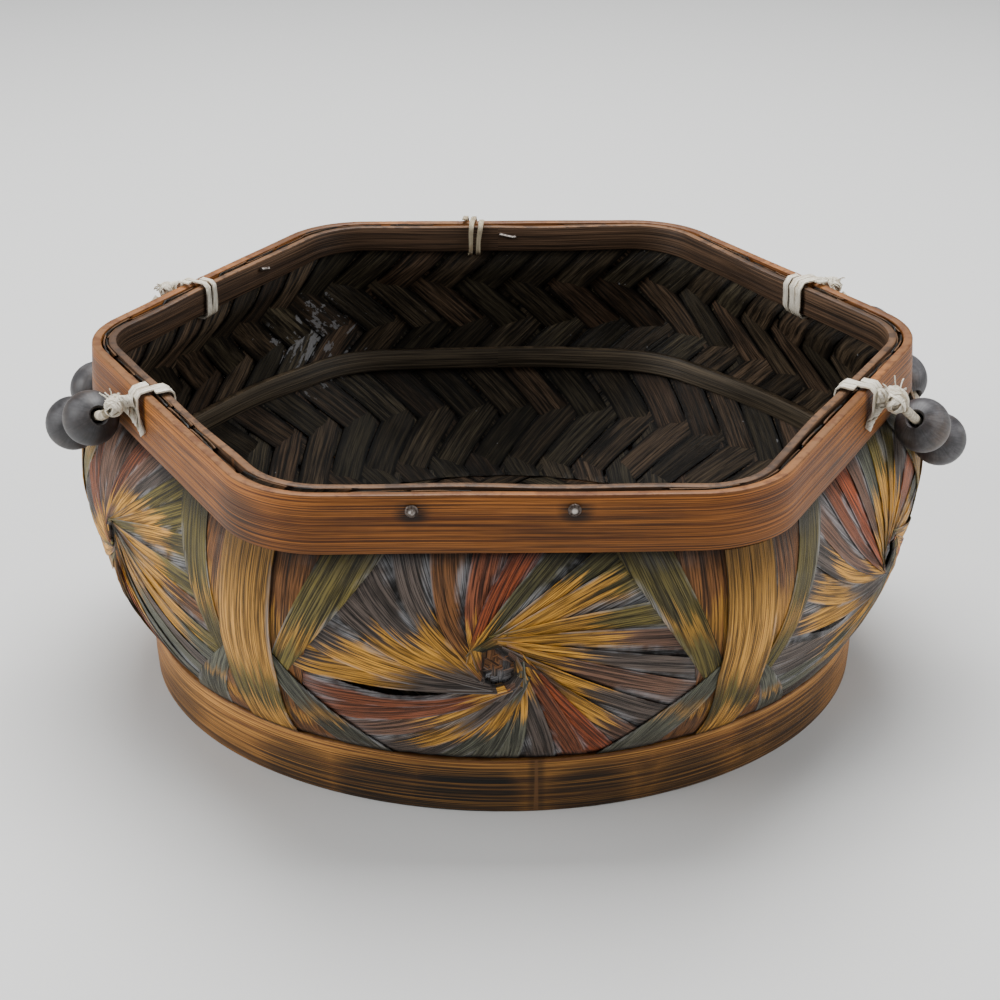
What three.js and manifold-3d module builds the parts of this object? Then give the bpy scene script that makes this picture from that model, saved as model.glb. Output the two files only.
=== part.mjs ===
// A six-sided bamboo and leaf basket with a beaded cord at each end, in millimetres, +Z up.
// The origin is on the table under the middle of the basket. X runs along its length, -Y is the front.
import * as THREE from 'three';
import { mergeVertices } from 'three/addons/utils/BufferGeometryUtils.js';
import Module from 'manifold-3d';

const wasm = await Module();
wasm.setup();

// Rim: two bent bamboo bands with the woven wall's edge between them
const rimHeight = 114.5;
const rimAcrossFlats = 242.5;
const rimCornerRadius = 32;
const outerBandHeight = 17.2;
const outerBandThickness = 3;
const outerBandFlare = 1.5;
const innerBandHeight = 10;
const innerBandThickness = 2.6;
const wallEdgeDrop = 2;

// Body: six-sided at the rim, rounder at the belly and oval at the foot
const bellyLength = 283;
const bellyDepth = 249.4;
const bellyHeight = 58;
const bellyRoundness = 0.5;
const footSkinLength = 242;
const footSkinDepth = 213.6;

// Layers of the wall
const skinThickness = 1.2;
const skinClearance = 1.1;
const wallThickness = 1.6;
const seatClearance = 0.3;

// Foot ring, floor and inside hoop
const footHeight = 19;
const footThickness = 3.2;
const floorThickness = 1.7;
const floorHeight = 12.3;
const hoopHeight = 8.4;
const hoopThickness = 3;
const hoopMiddleHeight = 57.5;

// Leaf rosettes: pleats folded round a small open eye, one rosette on each side
const pleatCount = 14;
const pleatStep = 1.3;
const pleatFold = 0.85;
const pleatTwist = Math.PI / 2;
const pleatTwistEase = 1.5;
const rosetteCrown = 1.6;
const eyeRadius = 6;
const eyeHeight = 60;
const frameTopHalfAngle = THREE.MathUtils.degToRad(14.5);
const frameSideHalfAngle = THREE.MathUtils.degToRad(24.4);
const frameFootHalfAngle = THREE.MathUtils.degToRad(15.2);

// Straight leaf strips over the corners, and the folded strips beside each rosette
const cornerStripWidth = 17;
const cornerStripRise = 0.5;
const stripGap = 0.4;

// Raffia ties over the rim
const raffiaDiameter = 2.2;
const tieTurns = 2;
const tiePitch = 3.2;
const tieFromSideMiddle = 8.6;
const tieBend = 2.4;
const tieClearance = 0.5;
const tieStartDrop = 7;
const tieTailLength = 8.5;
const slitClearance = 0.5;
const backTieFromMiddle = 6.5;
const knotTurns = 2;
const knotRadius = 2.4;
const knotStandOff = 1.6;
const knotDrop = 3;

// Beaded end cords
const cordDiameter = 3;
const beadDiameter = 17.5;
const beadLength = 19;
const beadBore = 4.4;

// Nails through the rim
const nailDiameter = 1.4;
const nailHeadDiameter = 4;
const nailHeadThickness = 0.8;
const nailBore = 2;
const nailClinchLength = 6;
const nailDrop = 4.3;
const frontNailLeft = -27;
const frontNailRight = 17;
const backNailAlong = 6.5;
const leftBackNailAlong = 25;

// How finely curved stretches are divided
const tieLoopSteps = 18;
const knotTurnSteps = 10;
const tieSides = 6;
const cordSides = 8;
const cordSteps = 26;
const beadSegments = 10;
const beadRows = 7;
const nailSides = 6;
const nailSteps = 9;
const rosetteRings = 5;
const cornerStripColumns = 3;
const stripColumns = 2;
const stripRows = 7;
const wallRows = 2;
const tailSteps = 3;
const reachHalvings = 40;
const gapSamplesPerPoint = 4;
const gapNeighbourDiameters = 3;
const cutterOvershoot = 4;

const sideCount = 6;
const sideAngle = 2 * Math.PI / sideCount;
const halfSide = sideAngle / 2;
const bandBottom = rimHeight - outerBandHeight;
const innerBandBottom = rimHeight - innerBandHeight;
const rimApothem = rimAcrossFlats / 2;
const wallOffset = -skinThickness - skinClearance;
const wallInside = wallOffset - wallThickness;
const bandInside = rimApothem - outerBandThickness;
const skinTopApothem = bandInside - seatClearance - wallOffset;
const skinTopCorner = rimCornerRadius - rimApothem + skinTopApothem;
const wallTop = rimHeight - wallEdgeDrop;
const floorTop = floorHeight + floorThickness;
const wallFoot = floorTop + seatClearance;
const skinFoot = footHeight + seatClearance;
const skinTop = bandBottom - seatClearance;
const tieStartHeight = rimHeight - tieStartDrop;
const knotHeight = rimHeight - knotDrop;

// Rounded hexagon with a corner on the X axis, as a distance from the middle
function hexagonRadius(angle, apothem, corner) {
  const folded = THREE.MathUtils.euclideanModulo(angle, sideAngle) - halfSide;
  const turn = Math.abs(folded);
  const flatHalf = (apothem - corner) * Math.tan(halfSide);
  if (apothem * Math.tan(turn) <= flatHalf) {
    return apothem / Math.cos(turn);
  }
  const toCorner = (apothem - corner) / Math.cos(halfSide);
  const aside = toCorner * Math.sin(halfSide - turn);
  return toCorner * Math.cos(halfSide - turn) + Math.sqrt(corner * corner - aside * aside);
}

function ovalRadius(angle, halfLength, halfDepth) {
  return 1 / Math.hypot(Math.cos(angle) / halfLength, Math.sin(angle) / halfDepth);
}

// Outer face of the leaf skin at a height, moved out by an offset: one smooth curve
// through the foot oval, the belly and the rim hexagon
function bodyRadius(angle, height, offset) {
  const rim = hexagonRadius(angle, skinTopApothem + offset, skinTopCorner + offset);
  if (height >= skinTop) {
    return rim;
  }
  const bellyHexagon = hexagonRadius(angle, bellyDepth / 2 + offset, rimCornerRadius + offset);
  const bellyOval = ovalRadius(angle, bellyLength / 2 + offset, bellyDepth / 2 + offset);
  const belly = THREE.MathUtils.lerp(bellyHexagon, bellyOval, bellyRoundness);
  const foot = ovalRadius(angle, footSkinLength / 2 + offset, footSkinDepth / 2 + offset);
  const fromFoot = height - skinFoot;
  const fromBelly = height - bellyHeight;
  const fromRim = height - skinTop;
  const footShare = fromBelly * fromRim / ((skinFoot - bellyHeight) * (skinFoot - skinTop));
  const bellyShare = fromFoot * fromRim / ((bellyHeight - skinFoot) * (bellyHeight - skinTop));
  const rimShare = fromFoot * fromBelly / ((skinTop - skinFoot) * (skinTop - bellyHeight));
  return foot * footShare + belly * bellyShare + rim * rimShare;
}

function polarPoint(angle, radius, height) {
  return new THREE.Vector3(radius * Math.cos(angle), radius * Math.sin(angle), height);
}

function bodyPoint(angle, height, offset) {
  return polarPoint(angle, bodyRadius(angle, height, offset), height);
}

// Directions round the basket, closer together over the six bent corners
const cornerSpread = [0, 4, 8, 18, 30, 42, 52, 56];
const rimAngles = [];
for (let side = 0; side < sideCount; side += 1) {
  for (const degrees of cornerSpread) {
    rimAngles.push(side * sideAngle + THREE.MathUtils.degToRad(degrees));
  }
}

// Closed solid from points and triangles, with its faces turned outwards
function solidGeometry(points, triangles) {
  let volume = 0;
  const cross = new THREE.Vector3();
  for (const [a, b, c] of triangles) {
    volume += points[a].dot(cross.crossVectors(points[b], points[c]));
  }
  const facing = volume < 0 ? triangles.map(([a, b, c]) => [a, c, b]) : triangles;
  const geometry = new THREE.BufferGeometry().setFromPoints(points);
  geometry.setIndex(facing.flat());
  geometry.computeVertexNormals();
  return geometry;
}

// Ring-shaped solid: a closed outline of points carried once round
function ringSolid(stations, outlineCount, pointAt) {
  const points = [];
  const triangles = [];
  for (let station = 0; station < stations; station += 1) {
    for (let corner = 0; corner < outlineCount; corner += 1) {
      points.push(pointAt(station, corner));
      const next = (corner + 1) % outlineCount;
      const here = station * outlineCount;
      const there = ((station + 1) % stations) * outlineCount;
      triangles.push([here + corner, there + corner, there + next]);
      triangles.push([here + corner, there + next, here + next]);
    }
  }
  return solidGeometry(points, triangles);
}

// Sheet with a thickness: rows and columns of points on its outer and inner faces
function sheetSolid(rows, columns, pointAt) {
  const points = [];
  const triangles = [];
  const loop = 2 * (columns + 1);
  for (let row = 0; row <= rows; row += 1) {
    for (let column = 0; column <= columns; column += 1) {
      points.push(pointAt(row, column, true));
    }
    for (let column = columns; column >= 0; column -= 1) {
      points.push(pointAt(row, column, false));
    }
  }
  for (let row = 0; row < rows; row += 1) {
    for (let corner = 0; corner < loop; corner += 1) {
      const here = row * loop + corner;
      const next = row * loop + (corner + 1) % loop;
      triangles.push([here, next, next + loop]);
      triangles.push([here, next + loop, here + loop]);
    }
  }
  for (let column = 0; column < columns; column += 1) {
    const under = loop - 1 - column;
    const last = rows * loop;
    triangles.push([column, under, under - 1]);
    triangles.push([column, under - 1, column + 1]);
    triangles.push([last + column, last + under - 1, last + under]);
    triangles.push([last + column, last + column + 1, last + under - 1]);
  }
  return solidGeometry(points, triangles);
}

// Round section for a tube of a given diameter
function roundSection(diameter, sides) {
  const section = new THREE.Shape();
  for (let side = 0; side < sides; side += 1) {
    const turn = 2 * Math.PI * side / sides;
    const x = diameter / 2 * Math.cos(turn);
    const y = diameter / 2 * Math.sin(turn);
    if (side === 0) {
      section.moveTo(x, y);
    } else {
      section.lineTo(x, y);
    }
  }
  section.closePath();
  return section;
}

function tubeGeometry(points, diameter, sides, steps) {
  const route = new THREE.CatmullRomCurve3(points);
  const section = roundSection(diameter, sides);
  return new THREE.ExtrudeGeometry(section, { steps, bevelEnabled: false, extrudePath: route });
}

// Boolean joins and cuts
function toSolid(geometry) {
  const bare = geometry.clone();
  bare.deleteAttribute('normal');
  bare.deleteAttribute('uv');
  const merged = mergeVertices(bare);
  const vertProperties = new Float32Array(merged.attributes.position.array);
  const triVerts = new Uint32Array(merged.index.array);
  return new wasm.Manifold(new wasm.Mesh({ numProp: 3, vertProperties, triVerts }));
}

function fromSolid(solid) {
  const mesh = solid.getMesh();
  const geometry = new THREE.BufferGeometry();
  geometry.setAttribute('position', new THREE.BufferAttribute(mesh.vertProperties, 3));
  geometry.setIndex(new THREE.BufferAttribute(mesh.triVerts, 1));
  geometry.computeVertexNormals();
  return geometry;
}

function cutAll(geometry, cutters) {
  let solid = toSolid(geometry);
  for (const cutter of cutters) {
    solid = solid.subtract(toSolid(cutter));
  }
  return fromSolid(solid);
}

// A point given by its distance from the middle of the basket towards one side,
// its distance along that side and its height
function sidePoint(normalAngle, outward, along, height) {
  const x = outward * Math.cos(normalAngle) - along * Math.sin(normalAngle);
  const y = outward * Math.sin(normalAngle) + along * Math.cos(normalAngle);
  return new THREE.Vector3(x, y, height);
}

const basket = new THREE.Group();

function addMesh(name, geometry, color, roughness, metalness) {
  const material = new THREE.MeshStandardMaterial({ color, roughness, metalness });
  const mesh = new THREE.Mesh(geometry, material);
  mesh.name = name;
  basket.add(mesh);
  return mesh;
}

// Ties: which side they are on and which way along it the end of the basket lies
const tieSideAngles = {
  right_front: { normal: -halfSide, towardsEnd: 1 },
  right_back: { normal: halfSide, towardsEnd: -1 },
  left_back: { normal: Math.PI - halfSide, towardsEnd: 1 },
  left_front: { normal: Math.PI + halfSide, towardsEnd: -1 },
};
const backNormal = Math.PI / 2;
const frontNormal = -Math.PI / 2;
const leftBackNormal = Math.PI - halfSide;

// The tie's loop round both bands, seen along the rim: outward distance and height
const raffiaReach = raffiaDiameter / 2 + tieClearance;
const innerBandOuter = bandInside - seatClearance - wallThickness - seatClearance;
const innerBandInner = innerBandOuter - innerBandThickness;
const loopInside = innerBandInner - raffiaReach;
const loopOutside = rimApothem + outerBandFlare + raffiaReach;
const loopBottom = innerBandBottom - raffiaReach;
const loopTop = rimHeight + raffiaReach;

function tieLoop() {
  const loop = new THREE.Path();
  const right = loopOutside - tieBend;
  const left = loopInside + tieBend;
  const top = loopTop - tieBend;
  const bottom = loopBottom + tieBend;
  loop.moveTo(loopOutside, tieStartHeight);
  loop.lineTo(loopOutside, top);
  loop.absarc(right, top, tieBend, 0, Math.PI / 2, false);
  loop.lineTo(left, loopTop);
  loop.absarc(left, top, tieBend, Math.PI / 2, Math.PI, false);
  loop.lineTo(loopInside, bottom);
  loop.absarc(left, bottom, tieBend, Math.PI, 1.5 * Math.PI, false);
  loop.lineTo(right, loopBottom);
  loop.absarc(right, bottom, tieBend, 1.5 * Math.PI, 2 * Math.PI, false);
  loop.lineTo(loopOutside, tieStartHeight);
  return loop;
}

// Share of one turn at which the raffia passes out through the slit
const slitShare = 0.82;

function windingPoints(normal, towardsEnd, from) {
  const loop = tieLoop();
  const points = [];
  for (let step = tailSteps; step >= 1; step -= 1) {
    const height = tieStartHeight - tieTailLength * step / tailSteps;
    points.push(sidePoint(normal, loopOutside, towardsEnd * from, height));
  }
  for (let step = 0; step <= tieTurns * tieLoopSteps; step += 1) {
    const turns = step / tieLoopSteps;
    const place = loop.getPointAt(turns % 1);
    const along = towardsEnd * (from + tiePitch * turns);
    points.push(sidePoint(normal, place.x, along, place.y));
  }
  return points;
}

// The knot: the winding's last turns run round the line that the end cord swings on
function knotCentre(normal, towardsEnd) {
  const lastAlong = towardsEnd * (tieFromSideMiddle + tiePitch * tieTurns);
  const start = sidePoint(normal, loopOutside, lastAlong, knotHeight);
  start.x += Math.sign(start.x) * (knotStandOff + knotRadius);
  return start;
}

function knotPoints(normal, towardsEnd) {
  const centre = knotCentre(normal, towardsEnd);
  const outward = Math.sign(centre.x);
  const away = Math.sign(centre.y);
  const points = [];
  for (let step = 0; step <= knotTurns * knotTurnSteps; step += 1) {
    const turns = step / knotTurnSteps;
    const turn = Math.PI - 2 * Math.PI * turns;
    const x = centre.x + outward * knotRadius * Math.cos(turn);
    const y = centre.y + away * tiePitch * turns;
    points.push(new THREE.Vector3(x, y, centre.z + knotRadius * Math.sin(turn)));
  }
  return points;
}

// Least gap between stretches of a winding that aren't neighbours along it
function leastGap(points, diameter) {
  const route = new THREE.CatmullRomCurve3(points);
  const places = route.getSpacedPoints(points.length * gapSamplesPerPoint);
  const spacing = route.getLength() / (places.length - 1);
  const apart = Math.ceil(gapNeighbourDiameters * diameter / spacing);
  let least = Infinity;
  for (let first = 0; first < places.length; first += 1) {
    for (let second = first + apart; second < places.length; second += 1) {
      least = Math.min(least, places[first].distanceTo(places[second]));
    }
  }
  return least - diameter;
}

function addWinding(name, points) {
  console.log(name, 'least gap to itself', leastGap(points, raffiaDiameter).toFixed(2), 'mm');
  const geometry = tubeGeometry(points, raffiaDiameter, tieSides, points.length - 1);
  addMesh(name, geometry, 0xcfc6b2, 0.75, 0);
}

// Slits that the ties pass out through, and the nails' bores
function slitCutter(normal, towardsEnd, from) {
  const first = from + tiePitch * slitShare;
  const last = first + tiePitch * (tieTurns - 1);
  const room = raffiaDiameter + 2 * slitClearance;
  const depth = cutterOvershoot * (loopOutside - loopInside);
  const cutter = new THREE.BoxGeometry(depth, last - first + room, room);
  cutter.rotateZ(normal);
  const middle = sidePoint(normal, loopOutside, towardsEnd * (first + last) / 2, loopBottom);
  cutter.translate(middle.x, middle.y, middle.z);
  return cutter;
}

const nailPlaces = {
  nail_front_left: { normal: frontNormal, along: frontNailLeft },
  nail_front_right: { normal: frontNormal, along: frontNailRight },
  nail_back: { normal: backNormal, along: -backNailAlong },
  nail_left_back: { normal: leftBackNormal, along: -leftBackNailAlong },
};
const nailHeight = rimHeight - nailDrop;

function nailCutter(place) {
  const length = cutterOvershoot * (rimApothem - innerBandInner);
  const cutter = new THREE.CylinderGeometry(nailBore / 2, nailBore / 2, length, nailSides);
  cutter.rotateZ(Math.PI / 2);
  cutter.rotateZ(place.normal);
  const middle = sidePoint(place.normal, innerBandInner, place.along, nailHeight);
  cutter.translate(middle.x, middle.y, middle.z);
  return cutter;
}

const nailCutters = Object.values(nailPlaces).map(nailCutter);
const slitCutters = Object.values(tieSideAngles).map(
  (tie) => slitCutter(tie.normal, tie.towardsEnd, tieFromSideMiddle),
);
slitCutters.push(slitCutter(backNormal, 1, backTieFromMiddle));

// Rim bands
function bandPoint(station, outward, height) {
  const angle = rimAngles[station];
  const corner = rimCornerRadius - rimApothem + outward;
  return polarPoint(angle, hexagonRadius(angle, outward, corner), height);
}

function addOuterBand() {
  const outline = [
    [rimApothem, rimHeight],
    [rimApothem + outerBandFlare, bandBottom],
    [bandInside + outerBandFlare, bandBottom],
    [bandInside, rimHeight],
  ];
  const plain = ringSolid(rimAngles.length, outline.length, (station, corner) => (
    bandPoint(station, outline[corner][0], outline[corner][1])
  ));
  addMesh('outer_rim_band', cutAll(plain, [...slitCutters, ...nailCutters]), 0xa0642f, 0.5, 0);
}

function addInnerBand() {
  const outline = [
    [innerBandOuter, rimHeight],
    [innerBandOuter, innerBandBottom],
    [innerBandInner, innerBandBottom],
    [innerBandInner, rimHeight],
  ];
  const plain = ringSolid(rimAngles.length, outline.length, (station, corner) => (
    bandPoint(station, outline[corner][0], outline[corner][1])
  ));
  addMesh('inner_rim_band', cutAll(plain, nailCutters), 0x4e3626, 0.55, 0);
}

// Woven wall, floor and inside hoop
const hoopLow = hoopMiddleHeight - hoopHeight / 2;
const hoopHigh = hoopMiddleHeight + hoopHeight / 2;

// Rows of the wall, with one at each edge of the hoop that lies against it
function wallHeights() {
  const heights = [wallFoot];
  for (let row = 0; row < wallRows; row += 1) {
    heights.push(THREE.MathUtils.lerp(skinFoot, hoopLow, row / wallRows));
  }
  heights.push(hoopLow, hoopMiddleHeight);
  for (let row = 0; row <= wallRows; row += 1) {
    heights.push(THREE.MathUtils.lerp(hoopHigh, skinTop, row / wallRows));
  }
  heights.push(wallTop);
  return heights;
}

function addWall() {
  const heights = wallHeights();
  const rows = heights.length;
  const plain = ringSolid(rimAngles.length, 2 * rows, (station, corner) => {
    const outside = corner < rows;
    const height = outside ? heights[corner] : heights[2 * rows - 1 - corner];
    return bodyPoint(rimAngles[station], height, outside ? wallOffset : wallInside);
  });
  addMesh('woven_wall', cutAll(plain, [...slitCutters, ...nailCutters]), 0x33271d, 0.6, 0);
}

const footInnerGrow = wallOffset + seatClearance;

function footOval(angle, grow) {
  return ovalRadius(angle, footSkinLength / 2 + grow, footSkinDepth / 2 + grow);
}

function addFloor() {
  const outline = rimAngles.map((angle) => {
    const edge = polarPoint(angle, footOval(angle, footInnerGrow - seatClearance), 0);
    return new THREE.Vector2(edge.x, edge.y);
  });
  const shape = new THREE.Shape(outline);
  const geometry = new THREE.ExtrudeGeometry(shape, { depth: floorThickness, bevelEnabled: false });
  const floor = addMesh('woven_floor', geometry, 0x2e231a, 0.65, 0);
  floor.position.z = floorHeight;
}

function addHoop() {
  const outer = wallInside - seatClearance;
  const inner = outer - hoopThickness;
  const outline = [
    [hoopLow, outer],
    [hoopMiddleHeight, outer],
    [hoopHigh, outer],
    [hoopHigh, inner],
    [hoopLow, inner],
  ];
  const geometry = ringSolid(rimAngles.length, outline.length, (station, corner) => (
    bodyPoint(rimAngles[station], outline[corner][0], outline[corner][1])
  ));
  addMesh('mid_hoop', geometry, 0x4a3b2e, 0.6, 0);
}

function addFootRing() {
  const outline = [
    [0, footInnerGrow],
    [0, footInnerGrow + footThickness],
    [footHeight, footInnerGrow + footThickness],
    [footHeight, footInnerGrow],
  ];
  const geometry = ringSolid(rimAngles.length, outline.length, (station, corner) => {
    const angle = rimAngles[station];
    return polarPoint(angle, footOval(angle, outline[corner][1]), outline[corner][0]);
  });
  addMesh('foot_ring', geometry, 0x9a6a35, 0.5, 0);
}

// Half width of a rosette's six-sided frame at a height, as an angle round the basket
function frameHalfAngle(height) {
  if (height > bellyHeight) {
    const share = (height - bellyHeight) / (skinTop - bellyHeight);
    return THREE.MathUtils.lerp(frameSideHalfAngle, frameTopHalfAngle, share);
  }
  const share = (bellyHeight - height) / (bellyHeight - skinFoot);
  return THREE.MathUtils.lerp(frameSideHalfAngle, frameFootHalfAngle, share);
}

// Distance from the eye to the frame in a direction, on the side laid flat
function frameReach(direction) {
  const across = Math.cos(direction);
  const up = Math.sin(direction);
  let low = 0;
  let high = bellyLength;
  for (let halving = 0; halving < reachHalvings; halving += 1) {
    const reach = (low + high) / 2;
    const height = eyeHeight + reach * up;
    const halfWidth = frameHalfAngle(height) * bellyDepth / 2;
    const inside = height < skinTop && height > skinFoot && Math.abs(reach * across) < halfWidth;
    if (inside) {
      low = reach;
    } else {
      high = reach;
    }
  }
  return low;
}

function rosetteGeometry(normal) {
  const lines = 2 * pleatCount;
  const rows = rosetteRings + 1;
  return ringSolid(lines, 2 * rows, (line, corner) => {
    const outside = corner < rows;
    const ring = outside ? corner : 2 * rows - 1 - corner;
    const share = ring / rosetteRings;
    const folded = line % 2 === 1;
    const pleat = Math.floor(line / 2) + (folded ? pleatFold : 0);
    const direction = 2 * Math.PI * pleat / pleatCount;
    const reach = THREE.MathUtils.lerp(eyeRadius, frameReach(direction), share);
    const twisted = direction + pleatTwist * (1 - share) ** pleatTwistEase;
    const angle = normal + reach * Math.cos(twisted) / (bellyDepth / 2);
    const height = eyeHeight + reach * Math.sin(twisted);
    const rise = (1 - share) * ((folded ? pleatStep : 0) + rosetteCrown);
    return bodyPoint(angle, height, outside ? rise : -skinThickness);
  });
}

const panelNames = {
  front: frontNormal,
  right_front: -halfSide,
  right_back: halfSide,
  back: backNormal,
  left_back: leftBackNormal,
  left_front: Math.PI + halfSide,
};

function stripHeight(row) {
  const middleRow = Math.floor(stripRows / 2) + 1;
  if (row <= middleRow) {
    return THREE.MathUtils.lerp(skinFoot, bellyHeight, row / middleRow);
  }
  return THREE.MathUtils.lerp(bellyHeight, skinTop, (row - middleRow) / (stripRows - middleRow));
}

const cornerHalfAngle = cornerStripWidth / bellyLength;
const gapAngle = 2 * stripGap / bellyDepth;

function cornerStripGeometry(corner) {
  return sheetSolid(stripRows, cornerStripColumns, (row, column, outside) => {
    const aside = cornerHalfAngle * (2 * column / cornerStripColumns - 1);
    return bodyPoint(corner + aside, stripHeight(row), outside ? cornerStripRise : -skinThickness);
  });
}

function sideStripGeometry(normal, hand) {
  return sheetSolid(stripRows, stripColumns, (row, column, outside) => {
    const height = stripHeight(row);
    const fromFrame = frameHalfAngle(height) + gapAngle;
    const toCorner = halfSide - cornerHalfAngle - gapAngle;
    const aside = THREE.MathUtils.lerp(fromFrame, toCorner, column / stripColumns);
    return bodyPoint(normal + hand * aside, height, outside ? 0 : -skinThickness);
  });
}

const cornerNames = ['right_end', 'right_back', 'left_back', 'left_end', 'left_front', 'right_front'];

function addLeafSkin() {
  for (const [name, normal] of Object.entries(panelNames)) {
    addMesh(`${name}_rosette`, rosetteGeometry(normal), 0x7a5a33, 0.65, 0);
    addMesh(`${name}_side_strips_a`, sideStripGeometry(normal, -1), 0x5d5233, 0.65, 0);
    addMesh(`${name}_side_strips_b`, sideStripGeometry(normal, 1), 0x6a4329, 0.65, 0);
  }
  cornerNames.forEach((name, corner) => {
    addMesh(`${name}_corner_strip`, cornerStripGeometry(corner * sideAngle), 0xa5813f, 0.65, 0);
  });
}

function addTies() {
  for (const [name, tie] of Object.entries(tieSideAngles)) {
    const winding = windingPoints(tie.normal, tie.towardsEnd, tieFromSideMiddle);
    addWinding(`${name}_tie`, [...winding, ...knotPoints(tie.normal, tie.towardsEnd)]);
  }
  addWinding('back_tie', windingPoints(backNormal, 1, backTieFromMiddle));
}

// Routes of the end cords from the front knot to the back one, hanging round the basket's end:
// distance along the swinging line, out from it and down from it. The beads' middles are among
// the points, each between two points of the bead's own axis.
const strandRoutes = {
  left: [
    [-51.5, 3, 2.9],
    [-50.4, 4.4, 4.1],
    [-47.3, 5.9, 5.3],
    [-40, 10.4, 9.4],
    [-32.7, 14.9, 13.5],
    [-32, 16.7, 14.4],
    [-24, 20, 18.2],
    [-16, 23.3, 22],
    [-8, 25.2, 25.2],
    [0, 26, 27.6],
    [8, 27.2, 29.8],
    [15.6, 25.9, 29.3],
    [23.8, 22.3, 25.8],
    [32, 18.7, 22.3],
    [33.9, 17.2, 20.4],
    [40.3, 12.9, 14.9],
    [46.7, 8.6, 9.4],
    [50.4, 4.6, 4.9],
    [51.5, 3, 2.9],
  ],
  right: [
    [-51.5, 2.9, 3],
    [-50, 4.3, 4.6],
    [-43.3, 8.7, 10],
    [-36.8, 13.3, 15.3],
    [-30.3, 17.9, 20.6],
    [-29, 19.8, 22.7],
    [-21.4, 23.6, 27.2],
    [-13.8, 27.4, 31.7],
    [-7, 28.9, 33.4],
    [0, 29, 33.8],
    [8, 27.7, 32.5],
    [17.1, 24.5, 28.9],
    [25, 21.2, 24.8],
    [32.9, 17.9, 20.7],
    [33.9, 16.4, 18.5],
    [40.4, 12, 13.2],
    [46.9, 7.6, 7.9],
    [50.4, 4.4, 4.5],
    [51.5, 2.9, 3],
  ],
};
const beadPlaces = [3, 6, 12, 15];

function strandPoint(hand, [along, out, down]) {
  const pivot = knotCentre(-halfSide, 1);
  return new THREE.Vector3(hand * (pivot.x + out), along, knotHeight - down);
}

function beadGeometry() {
  const outline = [];
  const bore = beadBore / 2;
  const rimTurn = Math.acos(bore / (beadDiameter / 2));
  for (let row = 0; row <= beadRows; row += 1) {
    const turn = THREE.MathUtils.lerp(-rimTurn, rimTurn, row / beadRows);
    const radius = beadDiameter / 2 * Math.cos(turn);
    outline.push(new THREE.Vector2(radius, beadLength / 2 * Math.sin(turn)));
  }
  outline.push(outline[0].clone());
  return new THREE.LatheGeometry(outline, beadSegments);
}

function addStrand(side, hand) {
  const points = strandRoutes[side].map((place) => strandPoint(hand, place));
  const cord = tubeGeometry(points, cordDiameter, cordSides, cordSteps);
  addMesh(`${side}_bead_cord`, cord, 0xb9ad97, 0.8, 0);
  const upright = new THREE.Vector3(0, 1, 0);
  beadPlaces.forEach((place, bead) => {
    const mesh = addMesh(`${side}_bead_${bead + 1}`, beadGeometry(), 0x4b4244, 0.45, 0);
    const along = points[place + 1].clone().sub(points[place - 1]).normalize();
    mesh.position.copy(points[place - 1]).add(points[place + 1]).multiplyScalar(0.5);
    mesh.quaternion.setFromUnitVectors(upright, along);
  });
}

// A nail: a head outside, a shank through both bands and a tip bent over inside
function addNails() {
  const shankReach = nailDiameter / 2 + seatClearance;
  const flareHere = outerBandFlare * nailDrop / outerBandHeight;
  const headSeat = rimApothem + flareHere + seatClearance;
  for (const [name, place] of Object.entries(nailPlaces)) {
    const tip = innerBandInner - shankReach;
    const route = new THREE.CurvePath();
    const outerEnd = sidePoint(place.normal, headSeat + nailHeadThickness / 2, place.along, nailHeight);
    const bend = sidePoint(place.normal, tip, place.along, nailHeight);
    const tipEnd = sidePoint(place.normal, tip, place.along + nailClinchLength, nailHeight);
    const beforeBend = sidePoint(place.normal, tip + nailDiameter, place.along, nailHeight);
    const afterBend = sidePoint(place.normal, tip, place.along + nailDiameter, nailHeight);
    route.add(new THREE.LineCurve3(outerEnd, beforeBend));
    route.add(new THREE.QuadraticBezierCurve3(beforeBend, bend, afterBend));
    route.add(new THREE.LineCurve3(afterBend, tipEnd));
    const section = roundSection(nailDiameter, nailSides);
    const shank = new THREE.ExtrudeGeometry(section, {
      steps: nailSteps,
      bevelEnabled: false,
      extrudePath: route,
    });
    const headRadius = nailHeadDiameter / 2;
    const head = new THREE.CylinderGeometry(headRadius, headRadius, nailHeadThickness, nailSides);
    head.rotateZ(Math.PI / 2);
    head.rotateZ(place.normal);
    const seat = sidePoint(place.normal, headSeat + nailHeadThickness / 2, place.along, nailHeight);
    head.translate(seat.x, seat.y, seat.z);
    addMesh(name, fromSolid(toSolid(head).add(toSolid(shank))), 0x4a4744, 0.5, 0.7);
  }
}

addOuterBand();
addInnerBand();
addWall();
addFloor();
addHoop();
addFootRing();
addLeafSkin();
addTies();
addStrand('left', -1);
addStrand('right', 1);
addNails();

export default basket;
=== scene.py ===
import random
from bisect import bisect_right
from itertools import accumulate
from math import asin, atan2, copysign, cos, hypot, pi, radians, sin, sqrt, tan

import bmesh
import bpy
from mathutils import Matrix, Vector, noise


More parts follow.
